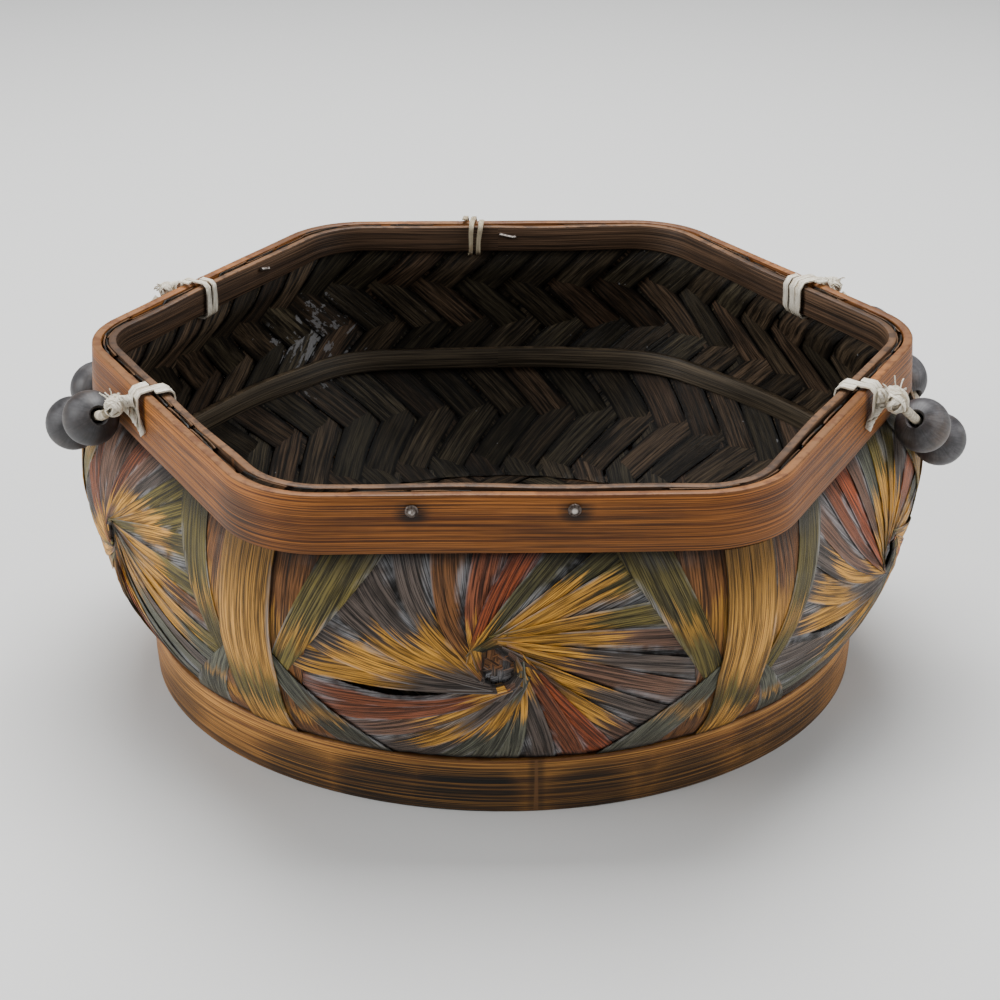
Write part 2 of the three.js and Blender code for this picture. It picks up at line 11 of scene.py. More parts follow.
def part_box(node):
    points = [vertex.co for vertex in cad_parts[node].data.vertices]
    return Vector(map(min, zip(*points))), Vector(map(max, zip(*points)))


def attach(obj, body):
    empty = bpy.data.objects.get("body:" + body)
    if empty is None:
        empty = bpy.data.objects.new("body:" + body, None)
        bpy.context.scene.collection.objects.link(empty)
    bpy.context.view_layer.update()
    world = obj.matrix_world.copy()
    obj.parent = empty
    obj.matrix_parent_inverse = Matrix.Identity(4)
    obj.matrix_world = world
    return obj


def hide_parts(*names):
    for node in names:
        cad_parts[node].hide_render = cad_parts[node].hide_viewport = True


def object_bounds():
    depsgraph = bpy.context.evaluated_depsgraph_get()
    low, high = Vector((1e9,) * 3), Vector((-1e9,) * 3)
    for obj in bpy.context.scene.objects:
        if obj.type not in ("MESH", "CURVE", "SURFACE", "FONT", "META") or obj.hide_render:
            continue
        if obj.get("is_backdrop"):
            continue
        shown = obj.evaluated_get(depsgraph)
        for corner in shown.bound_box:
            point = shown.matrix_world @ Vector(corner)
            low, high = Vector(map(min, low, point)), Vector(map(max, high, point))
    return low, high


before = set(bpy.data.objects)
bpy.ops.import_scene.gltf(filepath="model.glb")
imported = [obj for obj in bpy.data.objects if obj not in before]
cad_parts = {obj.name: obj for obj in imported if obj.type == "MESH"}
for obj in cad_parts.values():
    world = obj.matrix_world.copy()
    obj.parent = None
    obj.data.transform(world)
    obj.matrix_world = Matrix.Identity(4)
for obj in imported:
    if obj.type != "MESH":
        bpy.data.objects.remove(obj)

# A six-sided bamboo and leaf basket with a beaded raffia cord at each end
cad_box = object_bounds()
MM = 0.001

# Rim and body, as the part has them
RIM_APOTHEM = 121.25 * MM
RIM_CORNER = 32 * MM
BAND_THICKNESS = 3 * MM
BAND_FLARE = 1.5 * MM
INNER_BAND_OUTSIDE = 116.05 * MM
INNER_BAND_INSIDE = 113.45 * MM
INNER_BAND_THICKNESS = INNER_BAND_OUTSIDE - INNER_BAND_INSIDE
SKIN_TOP_APOTHEM = 120.25 * MM
SKIN_TOP_CORNER = 31 * MM
BELLY_HALF_LENGTH = 141.5 * MM
BELLY_HALF_DEPTH = 124.7 * MM
BELLY_HEIGHT = 58 * MM
BELLY_ROUNDNESS = 0.5
FOOT_HALF_LENGTH = 121 * MM
FOOT_HALF_DEPTH = 106.8 * MM


def heights(node):
    """The lowest and highest places of one of the part's solids."""
    low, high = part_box(node)
    return low[2], high[2]


BAND_BOTTOM, RIM_TOP = heights("outer_rim_band")
INNER_BAND_BOTTOM = heights("inner_rim_band")[0]
SKIN_FOOT, SKIN_TOP = heights("front_rosette")
HOOP_LOW, HOOP_HIGH = heights("mid_hoop")
FLOOR_LOW, FLOOR_HIGH = heights("woven_floor")
WALL_FOOT = heights("woven_wall")[0]
FOOT_TOP = heights("foot_ring")[1]

SIDE = pi / 3
HALF_SIDE = pi / 6
QUARTER = pi / 2
PANELS = {
    "front": -QUARTER,
    "right_front": -HALF_SIDE,
    "right_back": HALF_SIDE,
    "back": QUARTER,
    "left_back": pi - HALF_SIDE,
    "left_front": pi + HALF_SIDE,
}
CORNERS = {
    "right_end": 0,
    "right_back": SIDE,
    "left_back": 2 * SIDE,
    "left_end": pi,
    "left_front": 4 * SIDE,
    "right_front": 5 * SIDE,
}


def mix(a, b, share):
    return a + (b - a) * share


def limit(value, low=0.0, high=1.0):
    return max(low, min(high, value))


def smooth(value):
    value = limit(value)
    return value * value * (3 - 2 * value)


def hexagon_radius(angle, apothem, corner):
    turn = abs(angle % SIDE - HALF_SIDE)
    if apothem * tan(turn) <= (apothem - corner) * tan(HALF_SIDE):
        return apothem / cos(turn)
    reach = (apothem - corner) / cos(HALF_SIDE)
    aside = reach * sin(HALF_SIDE - turn)
    return reach * cos(HALF_SIDE - turn) + sqrt(corner ** 2 - aside ** 2)


def oval_radius(angle, half_length, half_depth):
    return 1 / hypot(cos(angle) / half_length, sin(angle) / half_depth)


def body_radius(angle, height, offset):
    """Outer face of the leaf skin at a height, moved out by an offset."""
    rim = hexagon_radius(angle, SKIN_TOP_APOTHEM + offset, SKIN_TOP_CORNER + offset)
    if height >= SKIN_TOP:
        return rim
    flat_belly = hexagon_radius(angle, BELLY_HALF_DEPTH + offset, RIM_CORNER + offset)
    round_belly = oval_radius(angle, BELLY_HALF_LENGTH + offset, BELLY_HALF_DEPTH + offset)
    belly = mix(flat_belly, round_belly, BELLY_ROUNDNESS)
    foot = oval_radius(angle, FOOT_HALF_LENGTH + offset, FOOT_HALF_DEPTH + offset)

    def share(own, first, second):
        return (height - first) * (height - second) / ((own - first) * (own - second))

    foot_share = share(SKIN_FOOT, BELLY_HEIGHT, SKIN_TOP)
    belly_share = share(BELLY_HEIGHT, SKIN_FOOT, SKIN_TOP)
    rim_share = share(SKIN_TOP, SKIN_FOOT, BELLY_HEIGHT)
    return foot * foot_share + belly * belly_share + rim * rim_share


def uneven(x, y, seed):
    """A smooth unevenness between about minus one and one."""
    return noise.noise(Vector((x, y, seed)))


def polar(angle, radius, height):
    return Vector((radius * cos(angle), radius * sin(angle), height))


def body_point(angle, height, offset):
    return polar(angle, body_radius(angle, height, offset), height)


def side_point(normal, outward, along, height):
    x = outward * cos(normal) - along * sin(normal)
    y = outward * sin(normal) + along * cos(normal)
    return Vector((x, y, height))


def edge_lengths(points):
    return [(second - first).length for first, second in zip(points, points[1:])]


# Modelling helpers. Edges sharper than these angles stay sharp.
SOLID_EDGE = 40
STRIP_EDGE = 50
RAFFIA_EDGE = 60
FIBRE_SPACE = 13


def deselect():
    bpy.ops.object.select_all(action="DESELECT")


def activate(piece):
    deselect()
    piece.select_set(True)
    bpy.context.view_layer.objects.active = piece


def apply_modifier(piece, kind, **settings):
    activate(piece)
    modifier = piece.modifiers.new(kind.title(), kind)
    for name, value in settings.items():
        setattr(modifier, name, value)
    bpy.ops.object.modifier_apply(modifier=modifier.name)


def edit(selection="SELECT"):
    bpy.ops.object.mode_set(mode="EDIT")
    bpy.ops.mesh.select_all(action=selection)


def leave_edit():
    bpy.ops.object.mode_set(mode="OBJECT")


def face_outwards(piece):
    activate(piece)
    edit()
    bpy.ops.mesh.normals_make_consistent(inside=False)
    leave_edit()


def smooth_faces(piece, degrees):
    activate(piece)
    bpy.ops.object.shade_smooth_by_angle(angle=radians(degrees))


def strip_blank(name, along, across, thickness):
    """A flat strip one unit long and wide, to be copied and laid in place."""
    deselect()
    bpy.ops.mesh.primitive_grid_add(x_subdivisions=along, y_subdivisions=across, size=1)
    blank = bpy.context.object
    blank.name = name
    apply_modifier(blank, "SOLIDIFY", thickness=thickness, offset=1)
    return blank


def ball(segments, rings, radius):
    deselect()
    bpy.ops.mesh.primitive_uv_sphere_add(segments=segments, ring_count=rings, radius=radius)
    return bpy.context.object


def enclosed_volume(piece):
    """The volume inside a piece, less than nothing if its faces look inwards."""
    shape = bmesh.new()
    shape.from_mesh(piece.data)
    volume = shape.calc_volume(signed=True)
    shape.free()
    return volume


def lay(blank, place):
    """A copy of a blank, each point moved to its place along, across and up from the strip."""
    strip = blank.copy()
    strip.data = blank.data.copy()
    bpy.context.collection.objects.link(strip)
    for vertex in strip.data.vertices:
        vertex.co = place(vertex.co.x + 0.5, vertex.co.y + 0.5, vertex.co.z)
    if enclosed_volume(strip) < 0:
        strip.data.flip_normals()
    return strip


def stain(strip, name, colour, share):
    """One colour and one number for a whole strip, kept as an attribute."""
    layer = strip.data.color_attributes.new(name, "FLOAT_COLOR", "POINT")
    layer.data.foreach_set("color", [*colour, share] * len(strip.data.vertices))


def dye_leaf(strip, blank, dye, heart, run, seed, width, crease_shade_depth=1.0):
    """A leaf strip's dye, its bare leaf from one share of its length to another, its fibres, and how deep
    the painted shade in its crease is.
    """
    layer = strip.data.color_attributes.new("dye", "FLOAT_COLOR", "POINT")
    for stained, vertex in zip(layer.data, blank.data.vertices):
        along = vertex.co.x + 0.5
        across = vertex.co.y + 0.5
        stained.color = (*dye, (1 - across) * width(along) / FIBRE_SPACE)
    stain(strip, "heart", heart, seed)
    stain(strip, "run", (run[0], run[1], 0), crease_shade_depth)


def tube(name, points, radius, roundness, bent):
    """A round rod along some points, bent smoothly or turned sharply at each."""
    curve = bpy.data.curves.new(name, "CURVE")
    curve.dimensions = "3D"
    curve.bevel_depth = radius
    curve.bevel_resolution = roundness
    curve.use_fill_caps = True
    spline = curve.splines.new("BEZIER" if bent else "POLY")
    knots = spline.bezier_points if bent else spline.points
    knots.add(len(points) - 1)
    for knot, point in zip(knots, points):
        knot.co = point if bent else (*point, 1)
        if bent:
            knot.handle_left_type = "AUTO"
            knot.handle_right_type = "AUTO"
    rod = bpy.data.objects.new(name, curve)
    bpy.context.collection.objects.link(rod)
    return rod


def stand_on(piece, place, axis):
    """Moves a piece made upright at the origin to a place, turned along an axis."""
    piece.matrix_world = Matrix.Translation(place) @ axis.to_track_quat("Z", "Y").to_matrix().to_4x4()
    activate(piece)
    bpy.ops.object.transform_apply(location=True, rotation=True, scale=True)


def join(strips, name, degrees, slot, finish, node, outwards=False):
    """Makes strips into one piece of the basket, smoothed except over edges sharper than an angle."""
    piece = strips[0]
    deselect()
    for strip in strips:
        strip.select_set(True)
    bpy.context.view_layer.objects.active = piece
    bpy.ops.object.join()
    piece.name = name
    piece.data.name = name
    if outwards:
        face_outwards(piece)
    smooth_faces(piece, degrees)
    settle(piece, "basket", slot, finish, node)


def settle(piece, body, slot, finish, node):
    """Gives a piece its finish and the body it moves with, and hides the solid it stands for."""
    piece.data.materials.clear()
    piece.data.materials.append(finish)
    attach(piece, body)
    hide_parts(node)
    return piece


# Finish helpers


class Value:
    """A value in a finish's nodes, which can be reckoned with like a number."""

    def __init__(self, look, socket):
        self.look = look
        self.socket = socket

    def reckon(self, operation, other=0.0):
        return self.look.add("ShaderNodeMath", {0: self, 1: other}, operation=operation)

    def __add__(self, other):
        return self.reckon("ADD", other)

    def __sub__(self, other):
        return self.reckon("SUBTRACT", other)

    def __mul__(self, other):
        return self.reckon("MULTIPLY", other)

    def __abs__(self):
        return self.reckon("ABSOLUTE")

    def or_more(self, other):
        return self.reckon("MAXIMUM", other)

    def ease(self, low, high, to_low=0.0, to_high=1.0):
        """Goes smoothly from one amount to another, between two values."""
        inputs = {"Value": self, "From Min": low, "From Max": high, "To Min": to_low, "To Max": to_high}
        return self.look.add("ShaderNodeMapRange", inputs, interpolation_type="SMOOTHSTEP")

    def between(self, first, second):
        """A colour this share of the way from one to another."""
        return self.look.blend(self, first, second, "MIX")

    def darken(self, share):
        """This colour multiplied by one grey value."""
        grey = self.look.add("ShaderNodeCombineColor", {0: share, 1: share, 2: share})
        return self.look.blend(1.0, self, grey, "MULTIPLY")


class Look:
    """A finish with its nodes, and the values that its colours are made from."""

    def __init__(self, name):
        self.finish = bpy.data.materials.new(name)
        self.finish.use_nodes = True
        self.tree = self.finish.node_tree
        self.shader = self.tree.nodes["Principled BSDF"]

    def fill(self, node, inputs):
        for name, value in inputs.items():
            entry = node.inputs[name]
            if isinstance(value, Value):
                self.tree.links.new(value.socket, entry)
            elif entry.type == "RGBA":
                entry.default_value = (*value, 1)
            else:
                entry.default_value = value

    def add(self, kind, inputs, output=0, **settings):
        node = self.tree.nodes.new(kind)
        for name, value in settings.items():
            setattr(node, name, value)
        self.fill(node, inputs)
        return Value(self, node.outputs[output])

    def blend(self, share, first, second, kind):
        inputs = {0: share, 6: first, 7: second}
        return self.add("ShaderNodeMix", inputs, 2, data_type="RGBA", blend_type=kind)

    def parts(self, vector):
        node = self.add("ShaderNodeSeparateXYZ", {0: vector}).socket.node
        return [Value(self, socket) for socket in node.outputs]

    def stained(self, name):
        """The colour and the number that a strip was stained with."""
        node = self.add("ShaderNodeAttribute", {}, attribute_name=name).socket.node
        return Value(self, node.outputs["Color"]), Value(self, node.outputs["Alpha"])

    def strip(self):
        """The strip's own coordinates, along it and across it."""
        return self.parts(self.add("ShaderNodeUVMap", {}, uv_map="UVMap"))[:2]

    def place(self):
        return self.add("ShaderNodeTexCoord", {}, "Object")

    def cloud(self, vector, scale, detail=3.0, roughness=0.55):
        inputs = {"Vector": vector, "Scale": scale, "Detail": detail, "Roughness": roughness}
        return self.add("ShaderNodeTexNoise", inputs)

    def grain(self, along, across, seed, detail=3.0, roughness=0.55):
        """Noise drawn out along a strip's fibres, moved on by a seed."""
        stretched = self.add("ShaderNodeCombineXYZ", {0: along, 1: across, 2: seed})
        return self.cloud(stretched, 1.0, detail, roughness)

    def blots(self, scale, detail=3.0, roughness=0.55):
        return self.cloud(self.place(), scale, detail, roughness)

    def spot(self, centre, inner, outer):
        """One inside a round place on the object, falling to nothing outside it."""
        inputs = {0: self.place(), 1: centre}
        away = self.add("ShaderNodeVectorMath", inputs, "Value", operation="DISTANCE")
        return away.ease(outer, inner)

    def done(self, colour, roughness, relief=None, strength=0.0, depth=0.0, shine=0.5, metal=0.0):
        """The finish with its colour, roughness and relief tied to the shader."""
        inputs = {"Base Color": colour, "Roughness": roughness, "Metallic": metal}
        inputs["Specular IOR Level"] = shine
        if relief:
            bump = {"Height": relief, "Strength": strength, "Distance": depth * MM}
            inputs["Normal"] = self.add("ShaderNodeBump", bump)
        self.fill(self.shader, inputs)
        return self.finish


# Dyes and stains; the pale grey and the tan also colour painted highlights
OCHRE = (0.42, 0.205, 0.03)
PALE_OCHRE = (0.42, 0.21, 0.04)
OLIVE = (0.1, 0.078, 0.02)
DARK_OLIVE = (0.052, 0.045, 0.017)
RUST = (0.17, 0.052, 0.022)
RUST_RED = (0.24, 0.055, 0.018)
SLATE = (0.076, 0.058, 0.048)
PURPLE_BROWN = (0.12, 0.064, 0.042)
GREEN_SLATE = (0.084, 0.084, 0.06)
BROWN = (0.135, 0.055, 0.017)
PALE_GREY = (0.32, 0.32, 0.33)
SOOT = (0.01, 0.008, 0.006)
TAN = (0.16, 0.074, 0.028)
WEAVE_BROWN = (0.07, 0.05, 0.03)


def leaf_finish(name, crease, dusty_share, dustiness, shaded):
    """Dyed leaf: a dark dye that runs out raggedly into the bare ochre leaf along its fibres, with painted
    shade in its crease, at its foot and below the rim, and a painted highlight with dust along its free
    edge.
    """
    look = Look(name)
    along, across = look.strip()
    dye, fibre = look.stained("dye")
    heart, seed = look.stained("heart")
    run, crease_shade_depth = look.stained("run")
    first, last = look.parts(run)[:2]
    seed = seed * 40.0
    fine = look.grain(along * 2.4, fibre * 36.0, seed, 4.0, 0.7)
    lines = look.grain(along * 1.8, fibre * 15.0, seed, 3.0, 0.6)
    broad = look.grain(along * 3.0, fibre * 5.0, seed, 2.0)
    blot = look.blots(70.0, 4.0)
    hatching = lines * 0.5 + fine * 0.5
    spread = along + (broad - 0.5) * 0.36 + (hatching - 0.5) * 0.95
    bare = (spread - first).ease(-0.06, 0.08) * (spread - last).ease(0.08, -0.08)
    colour = bare.between(dye, heart)
    colour = colour.darken(lines.ease(0.4, 0.55, 0.42, 1.24))
    colour = colour.darken(fine.ease(0.4, 0.54, 0.22, 1.28))
    # Painted shade: darker along the crease where the strip runs under its neighbour, scaled by its crease
    # shade depth.
    painted_crease_shade = across.ease(crease + 0.17, crease + 0.05) * crease_shade_depth
    colour = colour.darken(painted_crease_shade.ease(0.0, 1.0, 1.0, 0.14))
    lodged = across.ease(crease + 0.28, crease + 0.17).or_more(along.ease(0.16, 0.02, 0.0, 0.35))
    lodged = (lodged + dusty_share) * dustiness * along.ease(0.85, 0.6)
    dusty = lodged * blot.ease(0.4, 0.62) * fine.ease(0.38, 0.62, 0.1, 0.9)
    colour = dusty.between(colour, PALE_GREY)
    # Painted highlight with some dust: pale grey along the strip's free edge.
    free_edge_highlight_and_dust = across.ease(0.93, 0.99) * blot.ease(0.44, 0.6, 0.0, 0.4)
    colour = free_edge_highlight_and_dust.between(colour, PALE_GREY)
    height = look.parts(look.place())[2]
    # Painted shade: darker at the foot, where the skin tucks in under the foot ring.
    colour = colour.darken(height.ease(SKIN_FOOT, SKIN_FOOT + 3.5 * MM, 0.1, 1.0))
    # Darker for a given depth below the rim band: painted shade under the band, and on the corner strips
    # also their darker brown tops.
    colour = colour.darken(height.ease(SKIN_TOP, SKIN_TOP - shaded * MM, 0.3, 1.0))
    return look.done(colour, fine.ease(0.25, 0.75, 0.45, 0.7), fine + lines, 0.8, 0.4, shine=0.2)


def bamboo_finish(name, light, dark, lines_across, scorch, top_edge_highlight):
    """Split bamboo with dark fibres along it, scorched in places, and lighter towards its top with a paler
    top edge: painted highlight.
    """
    look = Look(name)
    along, up = look.strip()
    fine = look.grain(along * 16.0, up * (lines_across * 2), 0.0, 3.0, 0.65)
    lines = look.grain(along * 7.0, up * lines_across, 0.0, 3.0, 0.65)
    broad = look.grain(along * 9.0, up * (lines_across / 5), 0.0, 3.0)
    blot = look.blots(28.0, 4.0)
    grain = lines * 0.65 + broad * 0.35
    colour = grain.ease(0.4, 0.58).between(dark, light)
    colour = colour.darken(fine.ease(0.4, 0.56, 0.42, 1.15))
    lower = up.ease(0.5, 0.05) * broad.ease(0.42, 0.6)
    burnt = (blot.ease(0.5, 0.66) * scorch).or_more(lower * scorch)
    for centre, inner, outer, amount in SCORCHED.get(name, ()):
        place = look.spot(Vector(centre) * MM, inner * MM, outer * MM) * amount
        burnt = burnt.or_more(place * broad.ease(0.3, 0.5, 0.75, 1.0))
    burnt = burnt * lines.ease(0.64, 0.46, 0.55, 1.0) * up.ease(0.97, 0.72, 0.15, 1.0)
    # Painted highlight: each band lighter towards its top.
    colour = colour.darken(up.ease(0.45, 0.9, 1.0, 1.25))
    colour = burnt.between(colour, SOOT)
    for turn in GROWTH_RINGS.get(name, ()):
        away = abs(along - turn) + (blot - 0.5) * 0.0014
        colour = away.ease(0.005, 0.002, 0.0, 0.5).between(colour, SOOT)
        colour = away.ease(0.0013, 0.0006, 0.0, 0.7).between(colour, TAN)
    # Painted highlight: a pale tan line along the band's top edge.
    edge = up.ease(0.95, 0.99) * top_edge_highlight * broad.ease(0.38, 0.6, 0.3, 1.0)
    colour = edge.between(colour, TAN)
    chips = look.blots(240.0, 4.0, 0.65).ease(0.44, 0.62) * up.ease(0.95, 0.99, 0.0, 0.7)
    colour = chips.between(colour, dark)
    return look.done(colour, fine.ease(0.25, 0.75, 0.4, 0.62), fine + lines, 0.5, 0.35, shine=0.22)


# Bamboo of each band: light and dark, lines across it, how far it is scorched, and how strong its painted
# top-edge highlight is
BAMBOO_LOOKS = {
    "rim_band_bamboo": ((0.29, 0.103, 0.02), (0.085, 0.026, 0.006), 24.0, 0.25, 0.85),
    "inner_band_bamboo": ((0.1, 0.056, 0.031), (0.024, 0.0135, 0.008), 16.0, 0.3, 0.75),
    "hoop_bamboo": ((0.085, 0.064, 0.04), (0.022, 0.0165, 0.01), 12.0, 0.3, 0.12),
    "foot_ring_bamboo": ((0.38, 0.175, 0.04), (0.12, 0.046, 0.014), 24.0, 0.7, 0.8),
}

# Scorched places in millimetres: middle, inner and outer distance, and how dark
SCORCHED = {
    "rim_band_bamboo": (
        ((-73, -108, 103), 4, 17, 0.7),
        ((68, -110, 108), 3, 12, 0.3),
        ((-27, -122, 110), 2, 6.5, 0.95),
        ((17.5, -122, 110.4), 2, 7.5, 0.95),
    ),
    "foot_ring_bamboo": (
        ((-14, -108, 4), 14, 26, 1.0),
        ((-38, -103, 2), 12, 26, 0.95),
        ((-66, -92, 0), 8, 24, 0.8),
        ((24, -106, 4), 8, 24, 0.9),
        ((56, -96, 0), 8, 26, 0.85),
        ((92, -72, 4), 8, 34, 0.7),
        ((-108, -52, 2), 6, 24, 0.6),
        ((95, 66, 8), 8, 40, 0.8),
        ((-70, 88, 8), 8, 40, 0.8),
    ),
}

# Bamboo growth rings: how far round a hoop they lie, as a share of a turn from its back
GROWTH_RINGS = {"foot_ring_bamboo": (0.5118, 0.86, 0.19), "inner_band_bamboo": (0.392, 0.71)}

# Where old varnish has flaked on the inside of the wall
VARNISH_PLACE = Vector((-70, 104, 69)) * MM


def weave_finish():
    """Dark plaited bamboo: each strand its own brown, with worn fibres, a flaked varnish patch and painted
    shade along each strand's edges.
    """
    look = Look("plaited_bamboo")
    along, across = look.strip()
    tint, seed = look.stained("dye")
    seed = seed * 60.0
    fine = look.grain(along * 14.0, across * 30.0, seed, 4.0, 0.65)
    lines = look.grain(along * 8.0, across * 11.0, seed, 3.0, 0.6)
    scales = look.grain(along * 16.0, across * 2.6, seed, 4.0, 0.65)
    colour = lines.ease(0.34, 0.68).between(SOOT, tint)
    colour = colour.darken(fine.ease(0.34, 0.62, 0.4, 1.35))
    # Painted shade: each strand darker towards its edges, in the gaps between strands.
    colour = colour.darken(abs(across - 0.5).ease(0.34, 0.48, 1.0, 0.12))
    patch = look.spot(VARNISH_PLACE, 6 * MM, 32 * MM)
    flaked = (scales + patch * 0.17).ease(0.68, 0.72) * patch.ease(0.0, 0.2)
    colour = (flaked * 0.5).between(colour, PALE_GREY)
    specks = look.blots(420.0, 1.0).ease(0.79, 0.82)
    colour = (specks * 0.5).between(colour, PALE_GREY)
    colour = along.ease(0.955, 0.975, 0.0, 0.55).between(colour, TAN)
    rough = fine.ease(0.25, 0.75, 0.38, 0.6) - flaked * 0.25
    return look.done(colour, rough, fine + lines, 0.7, 0.45, shine=0.18)


def raffia_finish(name, pale, grey, brown):
    """Dry raffia: off-white fibres with greyer lines between them and a few tan ones."""
    look = Look(name)
    along, across = look.strip()
    fine = look.grain(along * 9.0, across * 13.0, 0.0, 4.0, 0.65)
    lines = look.grain(along * 5.0, across * 5.0, 3.0, 2.0)
    stained = look.blots(240.0).ease(0.45, 0.7) * lines.ease(0.4, 0.6)
    colour = fine.ease(0.34, 0.52).between(grey, pale)
    colour = (stained * 0.7).between(colour, brown)
    return look.done(colour, 0.5, fine, 1.0, 0.5)


def cord_finish():
    """Twisted raffia cord, by its place on the object."""
    look = Look("raffia_cord")
    lines = look.blots(900.0)
    colour = lines.ease(0.35, 0.65).between((0.3, 0.26, 0.19), (0.56, 0.5, 0.38))
    return look.done(colour, 0.6, lines, 0.7, 0.3)


def bead_finish():
    """Dark stained wood: fine grain from end to end, a pale bloom and brown worn patches, and painted shade
    on the beads to the left.
    """
    look = Look("bead_wood")
    along, across = look.strip()
    bloom = look.blots(150.0, 5.0, 0.65)
    grain = look.grain(along * 60.0, across * 4.0, 0.0, 4.0, 0.6)
    pits = look.blots(1300.0, 2.0)
    worn = look.blots(80.0, 4.0, 0.6).ease(0.45, 0.68)
    colour = worn.between((0.03, 0.027, 0.03), (0.062, 0.041, 0.03))
    colour = bloom.ease(0.42, 0.75, 0.0, 0.7).between(colour, (0.13, 0.127, 0.134))
    colour = colour.darken(grain.ease(0.35, 0.6, 0.7, 1.12))
    colour = pits.ease(0.64, 0.76, 0.0, 0.5).between(colour, SOOT)
    # Painted shade: beads on the left darker than those on the right.
    leftward = look.parts(look.place())[0]
    colour = colour.darken(leftward.ease(-100 * MM, 100 * MM, 0.55, 1.0))
    return look.done(colour, bloom.ease(0.3, 0.7, 0.42, 0.62), grain, 0.2, 0.2)


def nail_finish():
    """Rusted iron, worn bright on the crown of the head."""
    look = Look("nail_iron")
    rust = look.blots(1100.0, 4.0)
    crown = look.strip()[1].ease(0.8, 0.93) * rust.ease(0.35, 0.55)
    colour = rust.ease(0.4, 0.62).between((0.11, 0.085, 0.07), (0.03, 0.018, 0.012))
    colour = crown.between(colour, (0.62, 0.57, 0.52))
    return look.done(colour, rust.ease(0.4, 0.6, 0.4, 0.8), rust, 0.4, 0.2, metal=0.5)


# Camera, at the photograph's viewing angle
CAMERA_PLACE = Vector((-10.2, -545.8, 324.9)) * MM
CAMERA_TURN = 0.0166
CAMERA_TILT = 0.463
CAMERA_LENS = 63.43
SENSOR_WIDTH = 36

# The floor and the light: where each lamp hangs, what it is aimed at, its size and its power
FLOOR_SIZE = 40
FLOOR_GREY = (0.62, 0.62, 0.61)
SKY = (0.92, 0.95, 1.0, 1)
SKY_STRENGTH = 0.3
LAMPS = {
    "overhead": ((0, 0.5, 1.4), (0, 0, 0), 1.1, 45),
    "left_fill": ((-1.4, -0.35, 0.8), (0, 0, 0.06), 0.9, 24),
    "right_fill": ((1.4, -0.35, 0.8), (0, 0, 0.06), 0.9, 14),
}


def add_camera():
    bpy.ops.object.camera_add(location=CAMERA_PLACE, rotation=(QUARTER - CAMERA_TILT, 0, -CAMERA_TURN))
    camera = bpy.context.object
    camera.data.lens = CAMERA_LENS
    camera.data.sensor_width = SENSOR_WIDTH
    bpy.context.scene.camera = camera


def add_light(name, place, aim, size, power):
    bpy.ops.object.light_add(type="AREA", location=place)
    light = bpy.context.object
    light.name = name
    light.data.shape = "SQUARE"
    light.data.size = size
    light.data.energy = power
    light.rotation_euler = (Vector(aim) - Vector(place)).to_track_quat("-Z", "Y").to_euler()


def add_studio():
    bpy.ops.mesh.primitive_plane_add(size=FLOOR_SIZE, location=(0, 0, 0))
    floor = bpy.context.object
    floor.name = "floor"
    floor.data.materials.append(Look("pale_floor").done(FLOOR_GREY, 0.6))
    floor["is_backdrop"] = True
    world = bpy.data.worlds.new("studio")
    world.use_nodes = True
    sky = world.node_tree.nodes["Background"]
    sky.inputs[0].default_value = SKY
    sky.inputs[1].default_value = SKY_STRENGTH
    bpy.context.scene.world = world
    for name, lamp in LAMPS.items():
        add_light(name, *lamp)


# End cords: points from the front knot to the back one, along the swinging line, out and down
CORD_DIAMETER = 3 * MM
BEAD_DIAMETER = 17.5 * MM
BEAD_LENGTH = 19 * MM
BEAD_BORE = 4.4 * MM
BEAD_MOUTH = BEAD_BORE / 2 + 0.4 * MM
SWING_X = 119.19 * MM
SWING_HEIGHT = 111.5 * MM
STRAND_ROUTES = {
    "left": [
        (-51.5, 3, 2.9), (-50.4, 4.4, 4.1), (-47.3, 5.9, 5.3), (-40, 10.4, 9.4), (-32.7, 14.9, 13.5),
        (-32, 16.7, 14.4), (-24, 20, 18.2), (-16, 23.3, 22), (-8, 25.2, 25.2), (0, 26, 27.6),
        (8, 27.2, 29.8), (15.6, 25.9, 29.3), (23.8, 22.3, 25.8), (32, 18.7, 22.3), (33.9, 17.2, 20.4),
        (40.3, 12.9, 14.9), (46.7, 8.6, 9.4), (50.4, 4.6, 4.9), (51.5, 3, 2.9),
    ],
    "right": [
        (-51.5, 2.9, 3), (-50, 4.3, 4.6), (-43.3, 8.7, 10), (-36.8, 13.3, 15.3), (-30.3, 17.9, 20.6),
        (-29, 19.8, 22.7), (-21.4, 23.6, 27.2), (-13.8, 27.4, 31.7), (-7, 28.9, 33.4), (0, 29, 33.8),
        (8, 27.7, 32.5), (17.1, 24.5, 28.9), (25, 21.2, 24.8), (32.9, 17.9, 20.7), (33.9, 16.4, 18.5),
        (40.4, 12, 13.2), (46.9, 7.6, 7.9), (50.4, 4.4, 4.5), (51.5, 2.9, 3),
    ],
}
BEAD_PLACES = (3, 6, 12, 15)


def strand_points(side, hand):
    points = []
    for along, out, down in STRAND_ROUTES[side]:
        x = hand * (SWING_X + out * MM)
        points.append(Vector((x, along * MM, SWING_HEIGHT - down * MM)))
    return points


